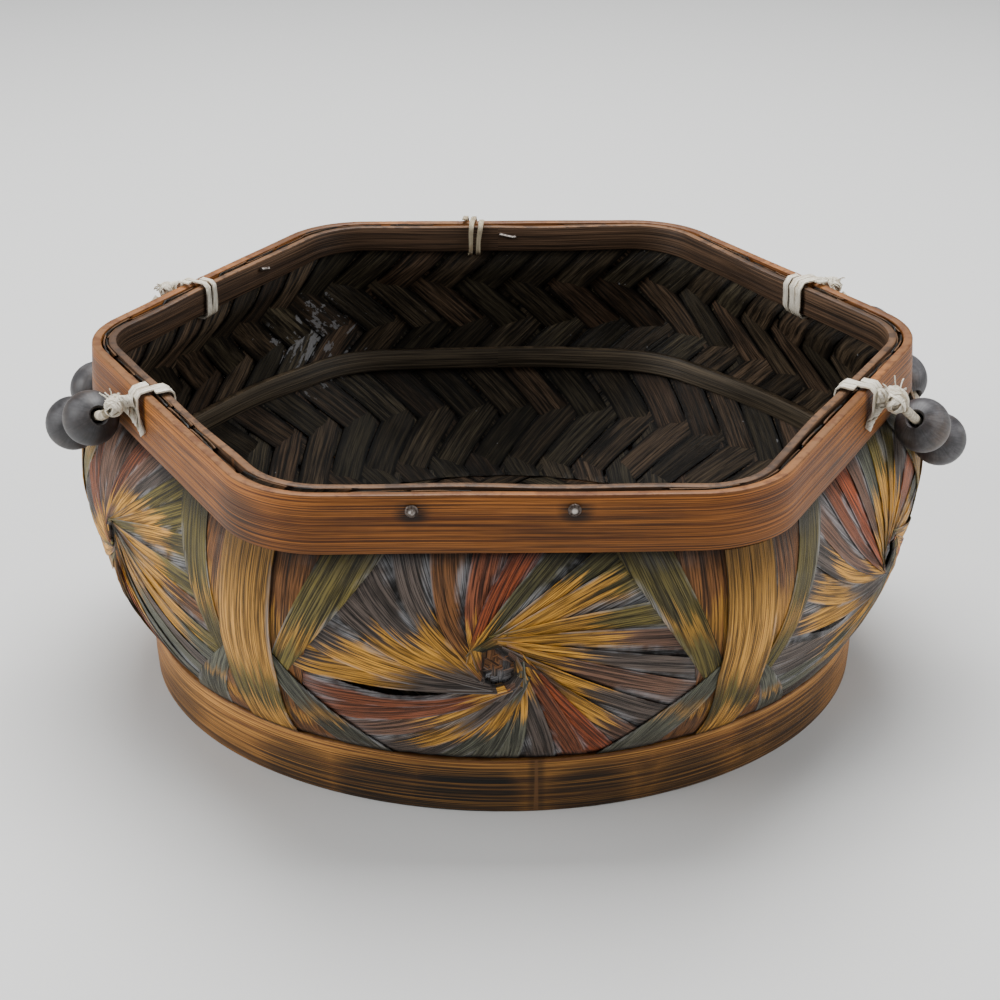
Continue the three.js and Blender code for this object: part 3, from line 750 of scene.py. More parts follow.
def add_bead(side, number, points, finish):
    """A turned oval bead: a ball opened at both poles, with the bore bridged between them."""
    middle = BEAD_PLACES[number - 1]
    axis = (points[middle + 1] - points[middle - 1]).normalized()
    centre = (points[middle + 1] + points[middle - 1]) / 2
    bead = ball(36, 26, BEAD_DIAMETER / 2)
    bead.name = f"{side}_turned_bead_{number}"
    edit("DESELECT")
    leave_edit()
    for vertex in bead.data.vertices:
        vertex.select = vertex.co.xy.length < BEAD_MOUTH
    bpy.ops.object.mode_set(mode="EDIT")
    bpy.ops.mesh.delete(type="VERT")
    bpy.ops.mesh.select_non_manifold()
    bpy.ops.mesh.extrude_region()
    bpy.ops.transform.resize(value=(0.8, 0.8, 0.93))
    bpy.ops.mesh.bridge_edge_loops()
    bpy.ops.mesh.select_all(action="SELECT")
    bpy.ops.transform.resize(value=(1, 1, BEAD_LENGTH / BEAD_DIAMETER))
    bpy.ops.mesh.normals_make_consistent(inside=False)
    leave_edit()
    stand_on(bead, centre, axis)
    smooth_faces(bead, SOLID_EDGE)
    return settle(bead, f"{side}_bead_{number}_body", "bead_wood", finish, f"{side}_bead_{number}")


def add_strand(side, hand, cord_look, bead_look):
    points = strand_points(side, hand)
    cord = tube(f"{side}_raffia_cord", points, CORD_DIAMETER / 2, roundness=3, bent=True)
    settle(cord, f"{side}_handle", "raffia_cord", cord_look, f"{side}_bead_cord")
    numbers = range(1, len(BEAD_PLACES) + 1)
    beads = [add_bead(side, number, points, bead_look) for number in numbers]
    tuple(points[0])
    sum(edge_lengths(points))


# Bent bamboo: rim bands, inside hoop and foot ring
BAND_STEPS = 288
BEVEL_EDGE = 50
HOOP_THICKNESS = 3 * MM
HOOP_INSET = -4.2 * MM
FOOT_THICKNESS = 3.2 * MM


def bent_band(name, rows, thickness, bevel, place):
    """A hoop: a circle extruded upwards in rows, bent to its place, then given thickness."""
    deselect()
    bpy.ops.mesh.primitive_circle_add(vertices=BAND_STEPS, radius=1)
    band = bpy.context.object
    band.name = name
    edit()
    for _ in range(rows):
        bpy.ops.mesh.extrude_region_move(TRANSFORM_OT_translate={"value": (0, 0, 1 / rows)})
    leave_edit()
    face_outwards(band)
    unwrap_band(band)
    for vertex in band.data.vertices:
        angle = atan2(vertex.co.y, vertex.co.x)
        vertex.co = place(angle, vertex.co.z)
    apply_modifier(band, "SOLIDIFY", thickness=thickness, offset=-1)
    bevelled = {"segments": 2, "limit_method": "ANGLE", "angle_limit": radians(BEVEL_EDGE)}
    apply_modifier(band, "BEVEL", width=bevel, **bevelled)
    smooth_faces(band, SOLID_EDGE)
    return band


def unwrap_band(band):
    """Own coordinates of a hoop: round it from the back, and up it."""
    layers = band.data.uv_layers
    while layers:
        layers.remove(layers[0])
    layer = layers.new(name="UVMap")
    for face in band.data.polygons:
        turns = []
        for index in face.vertices:
            point = band.data.vertices[index].co
            turns.append(((atan2(point.y, point.x) - QUARTER) / (2 * pi)) % 1)
        wraps = max(turns) - min(turns) > 0.5
        for loop, turn, index in zip(face.loop_indices, turns, face.vertices):
            lap = 1 if wraps and turn < 0.5 else 0
            layer.data[loop].uv = (turn + lap, band.data.vertices[index].co.z)


def waver(angle, seed, size):
    """A small unevenness round a hoop, the same at both ends of a turn."""
    return size * MM * uneven(3 * cos(angle), 3 * sin(angle), seed)


def rim_place(apothem, bottom, top, angle, share, seed, height_seed, sizes):
    """A place on a rim band, with its unevenness outwards and upwards."""
    apothem += waver(angle, seed, sizes[0])
    height = mix(bottom, top, share) + waver(angle, height_seed + share, sizes[1])
    return polar(angle, hexagon_radius(angle, apothem, RIM_CORNER + apothem - RIM_APOTHEM), height)


def outer_place(angle, share):
    apothem = RIM_APOTHEM + BAND_FLARE * (1 - share)
    return rim_place(apothem, BAND_BOTTOM, RIM_TOP, angle, share, 2, 5, (0.4, 0.5))


def inner_place(angle, share):
    top = RIM_TOP - 0.3 * MM
    return rim_place(INNER_BAND_OUTSIDE, INNER_BAND_BOTTOM, top, angle, share, 11, 15, (0.7, 0.9))


def hoop_place(angle, share):
    height = mix(HOOP_LOW, HOOP_HIGH, share) + waver(angle, 21, 0.8)
    return body_point(angle, height, HOOP_INSET + waver(angle, 25, 0.4))


def foot_place(angle, share):
    grow = 1.2 * MM + 0.3 * MM * sin(pi * share)
    radius = oval_radius(angle, FOOT_HALF_LENGTH + grow, FOOT_HALF_DEPTH + grow)
    return polar(angle, radius, mix(0, FOOT_TOP, share) + waver(angle, 31, 0.3) * share)


# Each band's rows, thickness and bevel in millimetres, its place, its slot, and the solid it stands for
BANDS = {
    "bamboo_rim_band": (4, BAND_THICKNESS, 0.6, outer_place, "band_bamboo", "outer_rim_band"),
    "bamboo_inner_band": (3, INNER_BAND_THICKNESS, 0.5, inner_place, "inner_bamboo", "inner_rim_band"),
    "bamboo_hoop": (2, HOOP_THICKNESS, 0.8, hoop_place, "hoop_bamboo", "mid_hoop"),
    "bamboo_foot_ring": (5, FOOT_THICKNESS, 0.7, foot_place, "foot_bamboo", "foot_ring"),
}


def add_bands(looks):
    for look, (name, (rows, thickness, bevel, place, slot, node)) in zip(looks, BANDS.items()):
        band = bent_band(name, rows, thickness, bevel * MM, place)
        settle(band, "basket", slot, look, node)


# Plaited wall and floor
WEAVE_COUNT = 46
WEAVE_PITCH = 17.4 * MM
WEAVE_ROW_EDGE = 88.3 * MM
STRAND_WIDTH = 12.1 * MM
STRAND_THICKNESS = 0.5 * MM
WEAVE_DEPTH = 0.5 * MM
WALL_MIDDLE = -3.1 * MM
WALL_SEED = 7
FLOOR_SEED = 8
FLOOR_INSET = 2.4 * MM
FLOOR_STRAND = 0.98 * STRAND_WIDTH
PERIMETER_STEPS = 720
SLANT = sqrt(0.5)


def perimeter_table():
    """Length round the wall at mid height, to share it evenly among the strands."""
    angles = [2 * pi * step / PERIMETER_STEPS for step in range(PERIMETER_STEPS + 1)]
    points = [body_point(angle, BELLY_HEIGHT, WALL_MIDDLE) for angle in angles]
    return [0.0, *accumulate(edge_lengths(points))]


PERIMETER = perimeter_table()


def perimeter_angle(share):
    whole = int(share // 1)
    length = (share - whole) * PERIMETER[-1]
    step = min(bisect_right(PERIMETER, length) - 1, PERIMETER_STEPS - 1)
    part = (length - PERIMETER[step]) / (PERIMETER[step + 1] - PERIMETER[step])
    return 2 * pi * (whole + (step + part) / PERIMETER_STEPS)


def float_side(place):
    """Which face of the weave a strand floats on: one half period on each."""
    return limit(3 * sin(pi * place), -1, 1)


def weave_tint(chance):
    depth = chance.uniform(0.5, 1.5)
    red, green, blue = WEAVE_BROWN
    return tuple(depth * part for part in (red + chance.uniform(-0.009, 0.013), green, blue))


def add_weave(blank, strands, name, finish, node):
    """Lays each strand where it goes, in its own tint, and joins them."""
    laid = []
    for place, tint, seed in strands:
        strand = lay(blank, place)
        stain(strand, "dye", tint, seed)
        laid.append(strand)
    join(laid, name, STRIP_EDGE, "woven_bamboo", finish, node)


def wall_strands():
    chance = random.Random(WALL_SEED)
    low = WALL_FOOT - STRAND_WIDTH / 2
    high = RIM_TOP + STRAND_WIDTH / 2
    for lean in (-1, 1):
        for index in range(WEAVE_COUNT):
            drift = chance.uniform(-0.06, 0.06)
            width = STRAND_WIDTH * chance.uniform(0.92, 1.0)
            top = RIM_TOP - chance.uniform(0.1, 2.6) * MM

            def place(along, across, lift):
                middle = mix(low, high, along)
                aside = (across - 0.5) * width
                turn = (index + drift + lean * middle / WEAVE_PITCH) / WEAVE_COUNT
                turn += aside * SLANT / PERIMETER[-1]
                height = limit(middle - lean * aside * SLANT, WALL_FOOT, top)
                side = float_side((middle - WEAVE_ROW_EDGE) / WEAVE_PITCH)
                crown = 0.3 * MM * (1 - (2 * across - 1) ** 2)
                offset = WALL_MIDDLE + lean * side * WEAVE_DEPTH - crown + lift - STRAND_THICKNESS / 2
                return body_point(perimeter_angle(turn), height, offset)

            yield place, weave_tint(chance), chance.random()


def oval_chord(base, heading, half_length, half_depth):
    """Where a line crosses the floor's oval: the way to the middle of the chord, and half its length."""
    bend = (heading.x / half_length) ** 2 + (heading.y / half_depth) ** 2
    slope = base.x * heading.x / half_length ** 2 + base.y * heading.y / half_depth ** 2
    rest = (base.x / half_length) ** 2 + (base.y / half_depth) ** 2 - 1
    square = slope ** 2 - bend * rest
    return -slope / bend, sqrt(max(square, 0)) / bend


def floor_strands():
    chance = random.Random(FLOOR_SEED)
    half_length = FOOT_HALF_LENGTH - FLOOR_INSET
    half_depth = FOOT_HALF_DEPTH - FLOOR_INSET
    middle = (FLOOR_LOW + FLOOR_HIGH) / 2
    reach = int(half_length / STRAND_WIDTH) + 1
    for hand in (-1, 1):
        heading = Vector((SLANT, hand * SLANT))
        aside = Vector((-hand * SLANT, SLANT))
        for index in range(-reach, reach):
            tint = weave_tint(chance)
            base = aside * ((index + 0.5) * STRAND_WIDTH)
            if oval_chord(base, heading, half_length, half_depth)[1] < STRAND_WIDTH / 2:
                continue

            def place(along, across, lift):
                line = base + aside * ((across - 0.5) * FLOOR_STRAND)
                centre, half = oval_chord(line, heading, half_length, half_depth)
                step = centre + mix(-half, half, along)
                over = step / STRAND_WIDTH
                phase = over - index if hand > 0 else over + index + 1
                side = hand * float_side(phase / 2)
                height = middle + side * WEAVE_DEPTH + lift - STRAND_THICKNESS / 2
                spot_on = line + heading * step
                return Vector((spot_on.x, spot_on.y, height))

            yield place, tint, chance.random()


# Leaf skin. Places on a side are in millimetres: across it from its middle, and up.
PLEAT_COUNT = 28
PLEAT_UNDERLAP = 0.85
PLEAT_JITTER = 0.14
PLEAT_SINK = 0.4
LEAST_BOW = 0.5
LEFT_BOW = 4.2
BOW_REACH = 60
OPENED_BOW = 3.2
UNCOVERED_BOW = 5
FRAME_SETTLE = 0.16
EYE_TILT = 0.9
EYE_RISE = 0.9
EYE_LOW_EDGE = 5.8
EYE_HIGH_EDGE = 8.8
LEAF_THICKNESS = 0.32 * MM
FRAME_GROWTH = 1.05
ROSETTE_SEED = 17
SIDE_STRIP_SEED = 50
CORNER_STRIP_SEED = 3
FLAT_TILT = 0.45
FLAT_CREASE_SHADE = 0.4
CRUMPLE_HEADINGS = (0.4, 1.5, 2.5)
CRUMPLE_LENGTH = 24
CRUMPLE_WIDTH = 9
SIDE_STRIP_RISES = (0.0, 0.42, 0.18, 0.62)
SIDE_STRIP_DROPS = (-14, -6, -4, 2)
FRAME_LAP = 1.5
SEAM_LAP = 1.2
CORNER_LAP = 3
TIP_LAP = 4
CORNER_STRIP_RISE = 1.3
TOP = SKIN_TOP / MM
FOOT = SKIN_FOOT / MM

# Each side's eye, and its six-sided frame clockwise from the left point
EYES = {
    "front": (-3.5, 63.5),
    "right_front": (15, 58),
    "right_back": (-2, 62),
    "back": (0, 62),
    "left_back": (6, 61),
    "left_front": (-21, 65),
}
EYE_SIZES = {"front": 0.95, "left_front": 0.5, "right_front": 0.8}
FRAMES = {
    "front": [(-60, 61), (-36, TOP), (30, TOP), (54.5, 57), (31.5, FOOT), (-42, FOOT)],
    "right_front": [(-56, 52), (-30, TOP), (34, TOP), (57, 60), (36, FOOT), (-26, FOOT)],
    "right_back": [(-56, 60), (-33, TOP), (32, TOP), (54, 58), (28, FOOT), (-36, FOOT)],
    "back": [(-57, 58), (-32, TOP), (33, TOP), (57, 58), (36, FOOT), (-40, FOOT)],
    "left_back": [(-48, 56), (-24, TOP), (34, TOP), (56, 60), (36, FOOT), (-16, FOOT)],
    "left_front": [(-57, 60), (-40, TOP), (20, TOP), (45, 56), (8, FOOT), (-42, FOOT)],
}

# The corners of a frame on its left and right: at the rim, at its side point and at the foot
SIDE_POINTS = {-1: (1, 0, 5), 1: (2, 3, 4)}

# Corner strips: half width, and how far each has drifted round at the rim, belly and foot
CORNER_STRIPS = {
    "right_end": (8.5, (0, 1, 0)),
    "right_back": (8.2, (1, 0, -10)),
    "left_back": (8.6, (4, 6, 14)),
    "left_end": (8.5, (0, -1, 0)),
    "left_front": (9.2, (-6.2, -9.1, -20.3)),
    "right_front": (7.6, (-1.6, -0.3, 9.2)),
}
TO_CORNER = HALF_SIDE * BELLY_HALF_DEPTH / MM

# Pleat dyes clockwise from the left point: dye, and where the bare leaf starts and ends, in hundredths
FRONT_DYES = [
    (SLATE, 14, 50), (SLATE, 20, 55), (SLATE, 34, 68), (SLATE, 50, 80), (SLATE, 52, 85), (BROWN, 75, 95),
    (RUST, 62, 90), (RUST_RED, 82, 110), (DARK_OLIVE, 80, 100), (DARK_OLIVE, 30, 75), (OLIVE, 25, 90),
    (OLIVE, 40, 95), (PURPLE_BROWN, 40, 100), (SLATE, 60, 100), (PURPLE_BROWN, 70, 100), (SLATE, 50, 80),
    (PURPLE_BROWN, 30, 60), (RUST_RED, 90, 120), (RUST, 90, 120), (SLATE, 75, 95), (GREEN_SLATE, 55, 85),
    (GREEN_SLATE, 60, 90), (GREEN_SLATE, 45, 75), (SLATE, 40, 70), (SLATE, 30, 62),
    (PURPLE_BROWN, 45, 75), (RUST, 80, 100), (RUST, 90, 120),
]
LEFT_DYES = [
    (OLIVE, 40, 80), (SLATE, 50, 90), (RUST, 60, 90), (RUST, 80, 100), (PURPLE_BROWN, 70, 90),
    (PURPLE_BROWN, 90, 120), (RUST, 70, 95), (PURPLE_BROWN, 55, 80), (SLATE, 50, 85), (OLIVE, 50, 90),
    (OLIVE, 35, 80), (OLIVE, 30, 60), (OLIVE, 40, 90), (BROWN, 35, 75), (OLIVE, 25, 70),
    (GREEN_SLATE, 30, 75), (SLATE, 60, 90), (GREEN_SLATE, 60, 90), (GREEN_SLATE, 70, 100),
    (GREEN_SLATE, 50, 80), (RUST, 60, 90), (RUST_RED, 90, 120), (OLIVE, 50, 90), (SLATE, 50, 80),
    (DARK_OLIVE, 40, 85), (OLIVE, 30, 80), (OLIVE, 20, 70), (PURPLE_BROWN, 40, 90),
]
RIGHT_DYES = [
    (SLATE, 50, 75), (SLATE, 20, 65), (SLATE, 20, 55), (SLATE, 32, 75), (PURPLE_BROWN, 70, 100),
    (RUST, 85, 100), (RUST_RED, 90, 120), (PURPLE_BROWN, 70, 90), (GREEN_SLATE, 50, 80), (OLIVE, 35, 80),
    (OLIVE, 40, 90), (SLATE, 50, 90), (RUST, 60, 90), (DARK_OLIVE, 40, 85), (SLATE, 40, 80),
    (OLIVE, 30, 90), (RUST, 60, 90), (RUST_RED, 80, 120), (OLIVE, 50, 90), (GREEN_SLATE, 80, 120),
    (SLATE, 50, 80), (GREEN_SLATE, 60, 90), (SLATE, 80, 100), (GREEN_SLATE, 40, 70), (SLATE, 50, 80),
    (GREEN_SLATE, 40, 60), (GREEN_SLATE, 60, 80), (SLATE, 45, 70),
]
SIDE_DYES = {
    "front": FRONT_DYES,
    "right_front": RIGHT_DYES,
    "right_back": LEFT_DYES[9:] + LEFT_DYES[:9],
    "back": FRONT_DYES[15:] + FRONT_DYES[:15],
    "left_back": RIGHT_DYES[11:] + RIGHT_DYES[:11],
    "left_front": LEFT_DYES,
}

# Pleats that have opened along one edge
OPEN_PLEATS = {"front": (0,), "right_front": (1, 26), "back": (19,)}

# Pleats that lie flat, with shallow creases and fainter painted shade in them
FLAT_PLEATS = {"left_front": range(12, 22), "right_front": range(4, 15)}


def panel_point(normal, across, height, lift):
    angle = normal + across * MM / BELLY_HALF_DEPTH
    return body_point(angle, limit(height * MM, SKIN_FOOT, SKIN_TOP), lift)


def corner_place(name, height):
    """How far a corner strip's middle has drifted round from the corner, at a height."""
    rim, belly, foot = CORNER_STRIPS[name][1]
    belly_height = BELLY_HEIGHT / MM
    if height > belly_height:
        return mix(belly, rim, (height - belly_height) / (TOP - belly_height))
    return mix(belly, foot, ((belly_height - height) / (belly_height - FOOT)) ** 1.5)


def frame_place(side, share):
    """A place on a side's frame from the eye, by length clockwise from the left point."""
    eye = Vector(EYES[side])
    corners = [Vector(corner) - eye for corner in FRAMES[side]]
    corners.append(corners[0])
    edges = edge_lengths(corners)
    left = (share % 1) * sum(edges)
    for first, second, edge in zip(corners, corners[1:], edges):
        if left <= edge:
            return first.lerp(second, left / edge) * FRAME_GROWTH
        left -= edge
    return corners[0]


def pleat_edge(start, distance, bow, beyond):
    """A pleat's edge: from the frame past the eye at a distance from its middle."""
    turn = asin(distance / start.length)
    reach = sqrt(start.length_squared - distance ** 2) + beyond
    heading = Matrix.Rotation(-turn, 2) @ -start.normalized()
    aside = Vector((heading.y, -heading.x))

    def place(share):
        return start + heading * (reach * share) + aside * (bow * sin(pi * share))

    return place


def add_pleat(blank, side, number, chance):
    step = 1 / PLEAT_COUNT
    normal = PANELS[side]
    eye = EYES[side]
    share = (number + 0.5 + chance.uniform(-PLEAT_JITTER, PLEAT_JITTER)) * step
    low_start = frame_place(side, share + PLEAT_UNDERLAP * step)
    high_start = frame_place(side, share - 0.5 * step)
    leftward = limit(0.5 - high_start.x / BOW_REACH)
    low_bow = LEAST_BOW + LEFT_BOW * leftward + chance.uniform(-0.4, 0.4)
    high_bow = low_bow
    tilt = chance.uniform(0.9, 1.25)
    gape = chance.choice((0.0, 0.0, 0.1, 0.3))
    crease_shade_depth = 1.0
    if number in FLAT_PLEATS.get(side, ()):
        gape = 0.0
        tilt = FLAT_TILT
        crease_shade_depth = FLAT_CREASE_SHADE
    opened = OPEN_PLEATS.get(side, ())
    if number in opened:
        high_bow -= OPENED_BOW
        gape = 1.0
    if (number + 1) % PLEAT_COUNT in opened:
        low_bow += UNCOVERED_BOW
    beyond = chance.uniform(0.5, 3)
    bearing = atan2(high_start.y, high_start.x)
    eye_size = chance.uniform(0.8, 1.14) * (1 + 0.16 * cos(2 * bearing - 0.9)) * EYE_SIZES.get(side, 1)
    low_edge = pleat_edge(low_start, EYE_LOW_EDGE * eye_size, low_bow, beyond)
    high_edge = pleat_edge(high_start, EYE_HIGH_EDGE * eye_size, high_bow, beyond)
    ripple = chance.uniform(0, 10)

    def place(along, across, lift):
        spot_on = low_edge(along).lerp(high_edge(along), across)
        settled = mix(0.3, 1, smooth(along / FRAME_SETTLE))
        rise = mix(tilt, EYE_TILT, along) * across * settled + EYE_RISE * along
        rise += gape * across ** 3 * sin(pi * along)
        rise += 0.2 * uneven(6 * along, 5 * across, ripple)
        lift += (rise - PLEAT_SINK) * MM
        return panel_point(normal, eye[0] + spot_on.x, eye[1] + spot_on.y, lift)

    pleat = lay(blank, place)
    dye, first, last = SIDE_DYES[side][number]

    def width(along):
        return (low_edge(along) - high_edge(along)).length

    run = (first / 100 + chance.uniform(-0.04, 0.04), last / 100)
    dyes = (shade_of(dye, chance), shade_of(OCHRE, chance))
    dye_leaf(pleat, blank, *dyes, run, chance.random(), width, crease_shade_depth)
    return pleat


def shade_of(dye, chance):
    depth = chance.uniform(0.82, 1.2)
    return tuple(depth * part for part in dye)


def add_crumpled_leaf(blank, side, heading, chance):
    """A crumpled strip of leaf behind the eye, where the pleats' ends are tucked in."""
    along_way = Vector((cos(heading), sin(heading)))
    across_way = Vector((-along_way.y, along_way.x))
    middle = Vector(EYES[side]) + across_way * chance.uniform(-2, 2)
    ripple = chance.uniform(0, 10)

    def place(along, across, lift):
        spot_on = middle + along_way * (along - 0.5) * CRUMPLE_LENGTH
        spot_on = spot_on + across_way * (across - 0.5) * CRUMPLE_WIDTH
        rise = 0.55 * uneven(7 * along, 6 * across, ripple) - 0.75
        return panel_point(PANELS[side], spot_on.x, spot_on.y, rise * MM + lift)

    leaf = lay(blank, place)
    dye = shade_of(SLATE, chance)
    dye_leaf(leaf, blank, dye, BROWN, (0.4, 0.8), chance.random(), lambda along: CRUMPLE_WIDTH)
    return leaf


def add_rosette(blank, side, finish):
    chance = random.Random(ROSETTE_SEED + list(PANELS).index(side))
    pleats = [add_pleat(blank, side, number, chance) for number in range(PLEAT_COUNT)]
    pleats += [add_crumpled_leaf(blank, side, heading, chance) for heading in CRUMPLE_HEADINGS]
    join(pleats, f"{side}_leaf_rosette", STRIP_EDGE, "leaf_pleats", finish, f"{side}_rosette")


def nearest_corner(angle):
    for name, place in CORNERS.items():
        if cos(place - angle) > 0.9:
            return name


def corner_edge(side, hand, height):
    """Where the corner strip beside a side begins, across that side."""
    name = nearest_corner(PANELS[side] + hand * HALF_SIDE)
    return hand * (TO_CORNER - CORNER_STRIPS[name][0]) + corner_place(name, height)


def add_side_strips(blank, side, letter, hand, finish):
    """Two strips above the frame's side point and two below it, out to the corner strip."""
    chance = random.Random(SIDE_STRIP_SEED + list(PANELS).index(side) * 2 + ord(letter))
    normal = PANELS[side]
    rim_corner, point, foot_corner = [FRAMES[side][index] for index in SIDE_POINTS[hand]]

    def starts(corner):
        """Where the two strips that start beside a frame corner lie, the one nearer to it first."""
        edge = corner_edge(side, hand, corner[1])
        seam = mix(corner[0], edge, chance.uniform(0.44, 0.56))
        near = (corner[0] - hand * FRAME_LAP, seam + hand)
        return near, (seam - hand * SEAM_LAP, edge + hand * CORNER_LAP)

    rim_near, rim_wide = starts(rim_corner)
    foot_near, foot_wide = starts(foot_corner)
    across, middle = point
    ends = [middle + drop for drop in SIDE_STRIP_DROPS]
    edge = corner_edge(side, hand, middle)
    tip = edge + hand * TIP_LAP
    brown_tip = corner_edge(side, hand, ends[0]) + hand * CORNER_LAP
    layers = [
        (BROWN, TOP, rim_wide, (across, brown_tip)),
        (OLIVE, TOP, rim_near, (edge - hand * FRAME_LAP, tip)),
        (BROWN, FOOT, foot_wide, (edge, tip)),
        (GREEN_SLATE, FOOT, foot_near, (edge - hand * 0.5, tip)),
    ]
    strips = []
    for layer_rise, end, (dye, start, wide, narrow) in zip(SIDE_STRIP_RISES, ends, layers):
        ripple = chance.uniform(0, 10)

        def edges(along):
            return mix(wide[0], narrow[0], along), mix(wide[1], narrow[1], along)

        def place(along, across, lift):
            height = mix(start, end, along)
            rise = layer_rise + 0.2 * (1 - across)
            rise += 0.1 * uneven(5 * along, 4 * across, ripple)
            return panel_point(normal, mix(*edges(along), across), height, rise * MM + lift)

        def width(along):
            near, far = edges(along)
            return abs(near - far)

        strip = lay(blank, place)
        first = chance.uniform(0.3, 0.6)
        run = (first, first + chance.uniform(0.1, 0.3))
        faded = [mix(part, bare, 0.65) for part, bare in zip(dye, OCHRE)]
        dye_leaf(strip, blank, shade_of(dye, chance), faded, run, chance.random(), width)
        strips.append(strip)
    name = f"{side}_leaf_strips_{letter}"
    join(strips, name, STRIP_EDGE, "leaf_strips", finish, f"{side}_side_strips_{letter}")


def add_corner_strip(blank, name, angle, finish):
    chance = random.Random(len(name) + CORNER_STRIP_SEED)
    ripple = chance.uniform(0, 10)
    half_width = CORNER_STRIPS[name][0]

    def place(along, across, lift):
        height = mix(TOP, FOOT, along)
        aside = corner_place(name, height) + (2 * across - 1) * half_width
        rise = CORNER_STRIP_RISE + 0.12 * (1 - (2 * across - 1) ** 2)
        rise += 0.3 * uneven(5 * along, 3 * across, ripple)
        return body_point(angle + aside * MM / BELLY_HALF_DEPTH, height * MM, rise * MM + lift)

    strip = lay(blank, place)
    run = (chance.uniform(0.5, 0.62), chance.uniform(0.7, 0.85))
    dye_leaf(strip, blank, PALE_OCHRE, OLIVE, run, chance.random(), lambda along: 2 * half_width)
    strip.name = f"{name}_leaf_corner"
    smooth_faces(strip, STRIP_EDGE)
    settle(strip, "basket", "leaf_corner", finish, f"{name}_corner_strip")


def add_leaf_skin(pleat_look, strip_look, corner_look):
    pleat_blank = strip_blank("pleat_blank", 26, 6, LEAF_THICKNESS)
    leaf_blank = strip_blank("leaf_blank", 18, 5, LEAF_THICKNESS)
    for side in PANELS:
        add_rosette(pleat_blank, side, pleat_look)
        add_side_strips(leaf_blank, side, "a", -1, strip_look)
        add_side_strips(leaf_blank, side, "b", 1, strip_look)
    for name, angle in CORNERS.items():
        add_corner_strip(leaf_blank, name, angle, corner_look)
    return [pleat_blank, leaf_blank]


# Raffia ties over the rim: which side, which way along it, turns, width, and the size of the knot
TIES = {
    "right_front": (-HALF_SIDE, 1, 2, 3.5 * MM, 1.3),
    "right_back": (HALF_SIDE, -1, 3, 2.4 * MM, 0.95),
    "left_back": (pi - HALF_SIDE, 1, 2, 2.2 * MM, 0.85),
    "left_front": (pi + HALF_SIDE, -1, 2, 3.1 * MM, 1.0),
}
TIE_START = 8.6 * MM
TIE_PITCH = 3.2 * MM
TIE_TURN = 0.35
BACK_TIE_START = 6.5 * MM
RIBBON_THICKNESS = 0.5 * MM
LOOP_OUT = RIM_APOTHEM + BAND_FLARE + 0.3 * MM
LOOP_IN = INNER_BAND_INSIDE - 0.7 * MM
LOOP_LOW = INNER_BAND_BOTTOM - 0.8 * MM
LOOP_TOP = RIM_TOP + 0.5 * MM
LOOP_BEND = 1.5 * MM
KNOT_SIZE = Vector((2.5, 4.4, 2.4)) * MM
BACK_TIE_WIDTH = 1.9 * MM
WISP_THICKNESS = 0.25 * MM
WISP_WIDTH = 0.5 * MM
WISP_COUNT = 9
NECK_STRANDS = 5
SLIT_HEIGHT = 102.6 * MM

# Where a knot's neck starts and its tails fold, in millimetres back along the rim, up and out
NECK_ROOT = (3.5, 1.2, 0.8)
TAIL_FOLD = (3.4, -1.5, 1.2)

# Wraps of a knot: how far each is turned and tipped, its laps, and how far it slides along
KNOT_WRAPS = ((0.0, 0.0, 2.6, 0.7), (0.75, 0.4, 1.6, 0.3), (1.3, -0.5, 1.4, 0.2), (-0.6, 0.7, 1.3, 0.25))


def tie_loop(share):
    """A place on the loop round both bands: outward distance, height, and which way it faces."""
    corners = [
        Vector((LOOP_OUT - LOOP_BEND, LOOP_LOW + LOOP_BEND)),
        Vector((LOOP_OUT - LOOP_BEND, LOOP_TOP - LOOP_BEND)),
        Vector((LOOP_IN + LOOP_BEND, LOOP_TOP - LOOP_BEND)),
        Vector((LOOP_IN + LOOP_BEND, LOOP_LOW + LOOP_BEND)),
    ]
    corners.append(corners[0])
    runs = edge_lengths(corners)
    arc = QUARTER * LOOP_BEND
    left = (share % 1) * (sum(runs) + 4 * arc)
    for side, (start, end, run) in enumerate(zip(corners, corners[1:], runs)):
        facing = side * QUARTER
        if left <= run:
            centre = start.lerp(end, left / run)
            break
        left -= run
        centre = end
        if left <= arc:
            facing += left / LOOP_BEND
            break
        left -= arc
    normal = Vector((cos(facing), sin(facing)))
    return centre + normal * LOOP_BEND, normal


def fibres(across, along, seed):
    """The uneven back of a raffia ribbon, in metres: ridges along it."""
    return 0.22 * MM * uneven(9 * across, 2 * along, seed)


def tie_ribbon(blank, normal, towards, start, turns, width):
    def place(along, across, lift):
        turn = TIE_TURN + turns * along
        spot_on, facing = tie_loop(turn)
        twist = 1 + 0.3 * uneven(3 * turn, 2, normal)
        aside = (across - 0.5) * width * twist
        along_rim = towards * (start + TIE_PITCH * (turn - TIE_TURN)) + aside
        along_rim += 0.8 * MM * uneven(4 * turn, start * 900, normal)
        raised = lift + 0.3 * MM + 0.3 * MM * along + fibres(across, 9 * turn, normal)
        spot_on = spot_on + facing * raised
        return side_point(normal, spot_on.x, along_rim, spot_on.y)

    return lay(blank, place)


def ribbon_along(blank, points, width, facing, seed):
    """A flat ribbon along a few points, lying square to the way it faces."""
    def place(along, across, lift):
        step = min(int(along * (len(points) - 1)), len(points) - 2)
        part = along * (len(points) - 1) - step
        spot_on = points[step].lerp(points[step + 1], part)
        heading = (points[-1] - points[0]).normalized()
        aside = heading.cross(facing).normalized()
        wander = 0.4 * MM * uneven(4 * along, 0, seed)
        raised = lift + fibres(across, 4 * along, seed)
        return spot_on + aside * ((across - 0.5) * width + wander) + facing * raised

    return lay(blank, place)


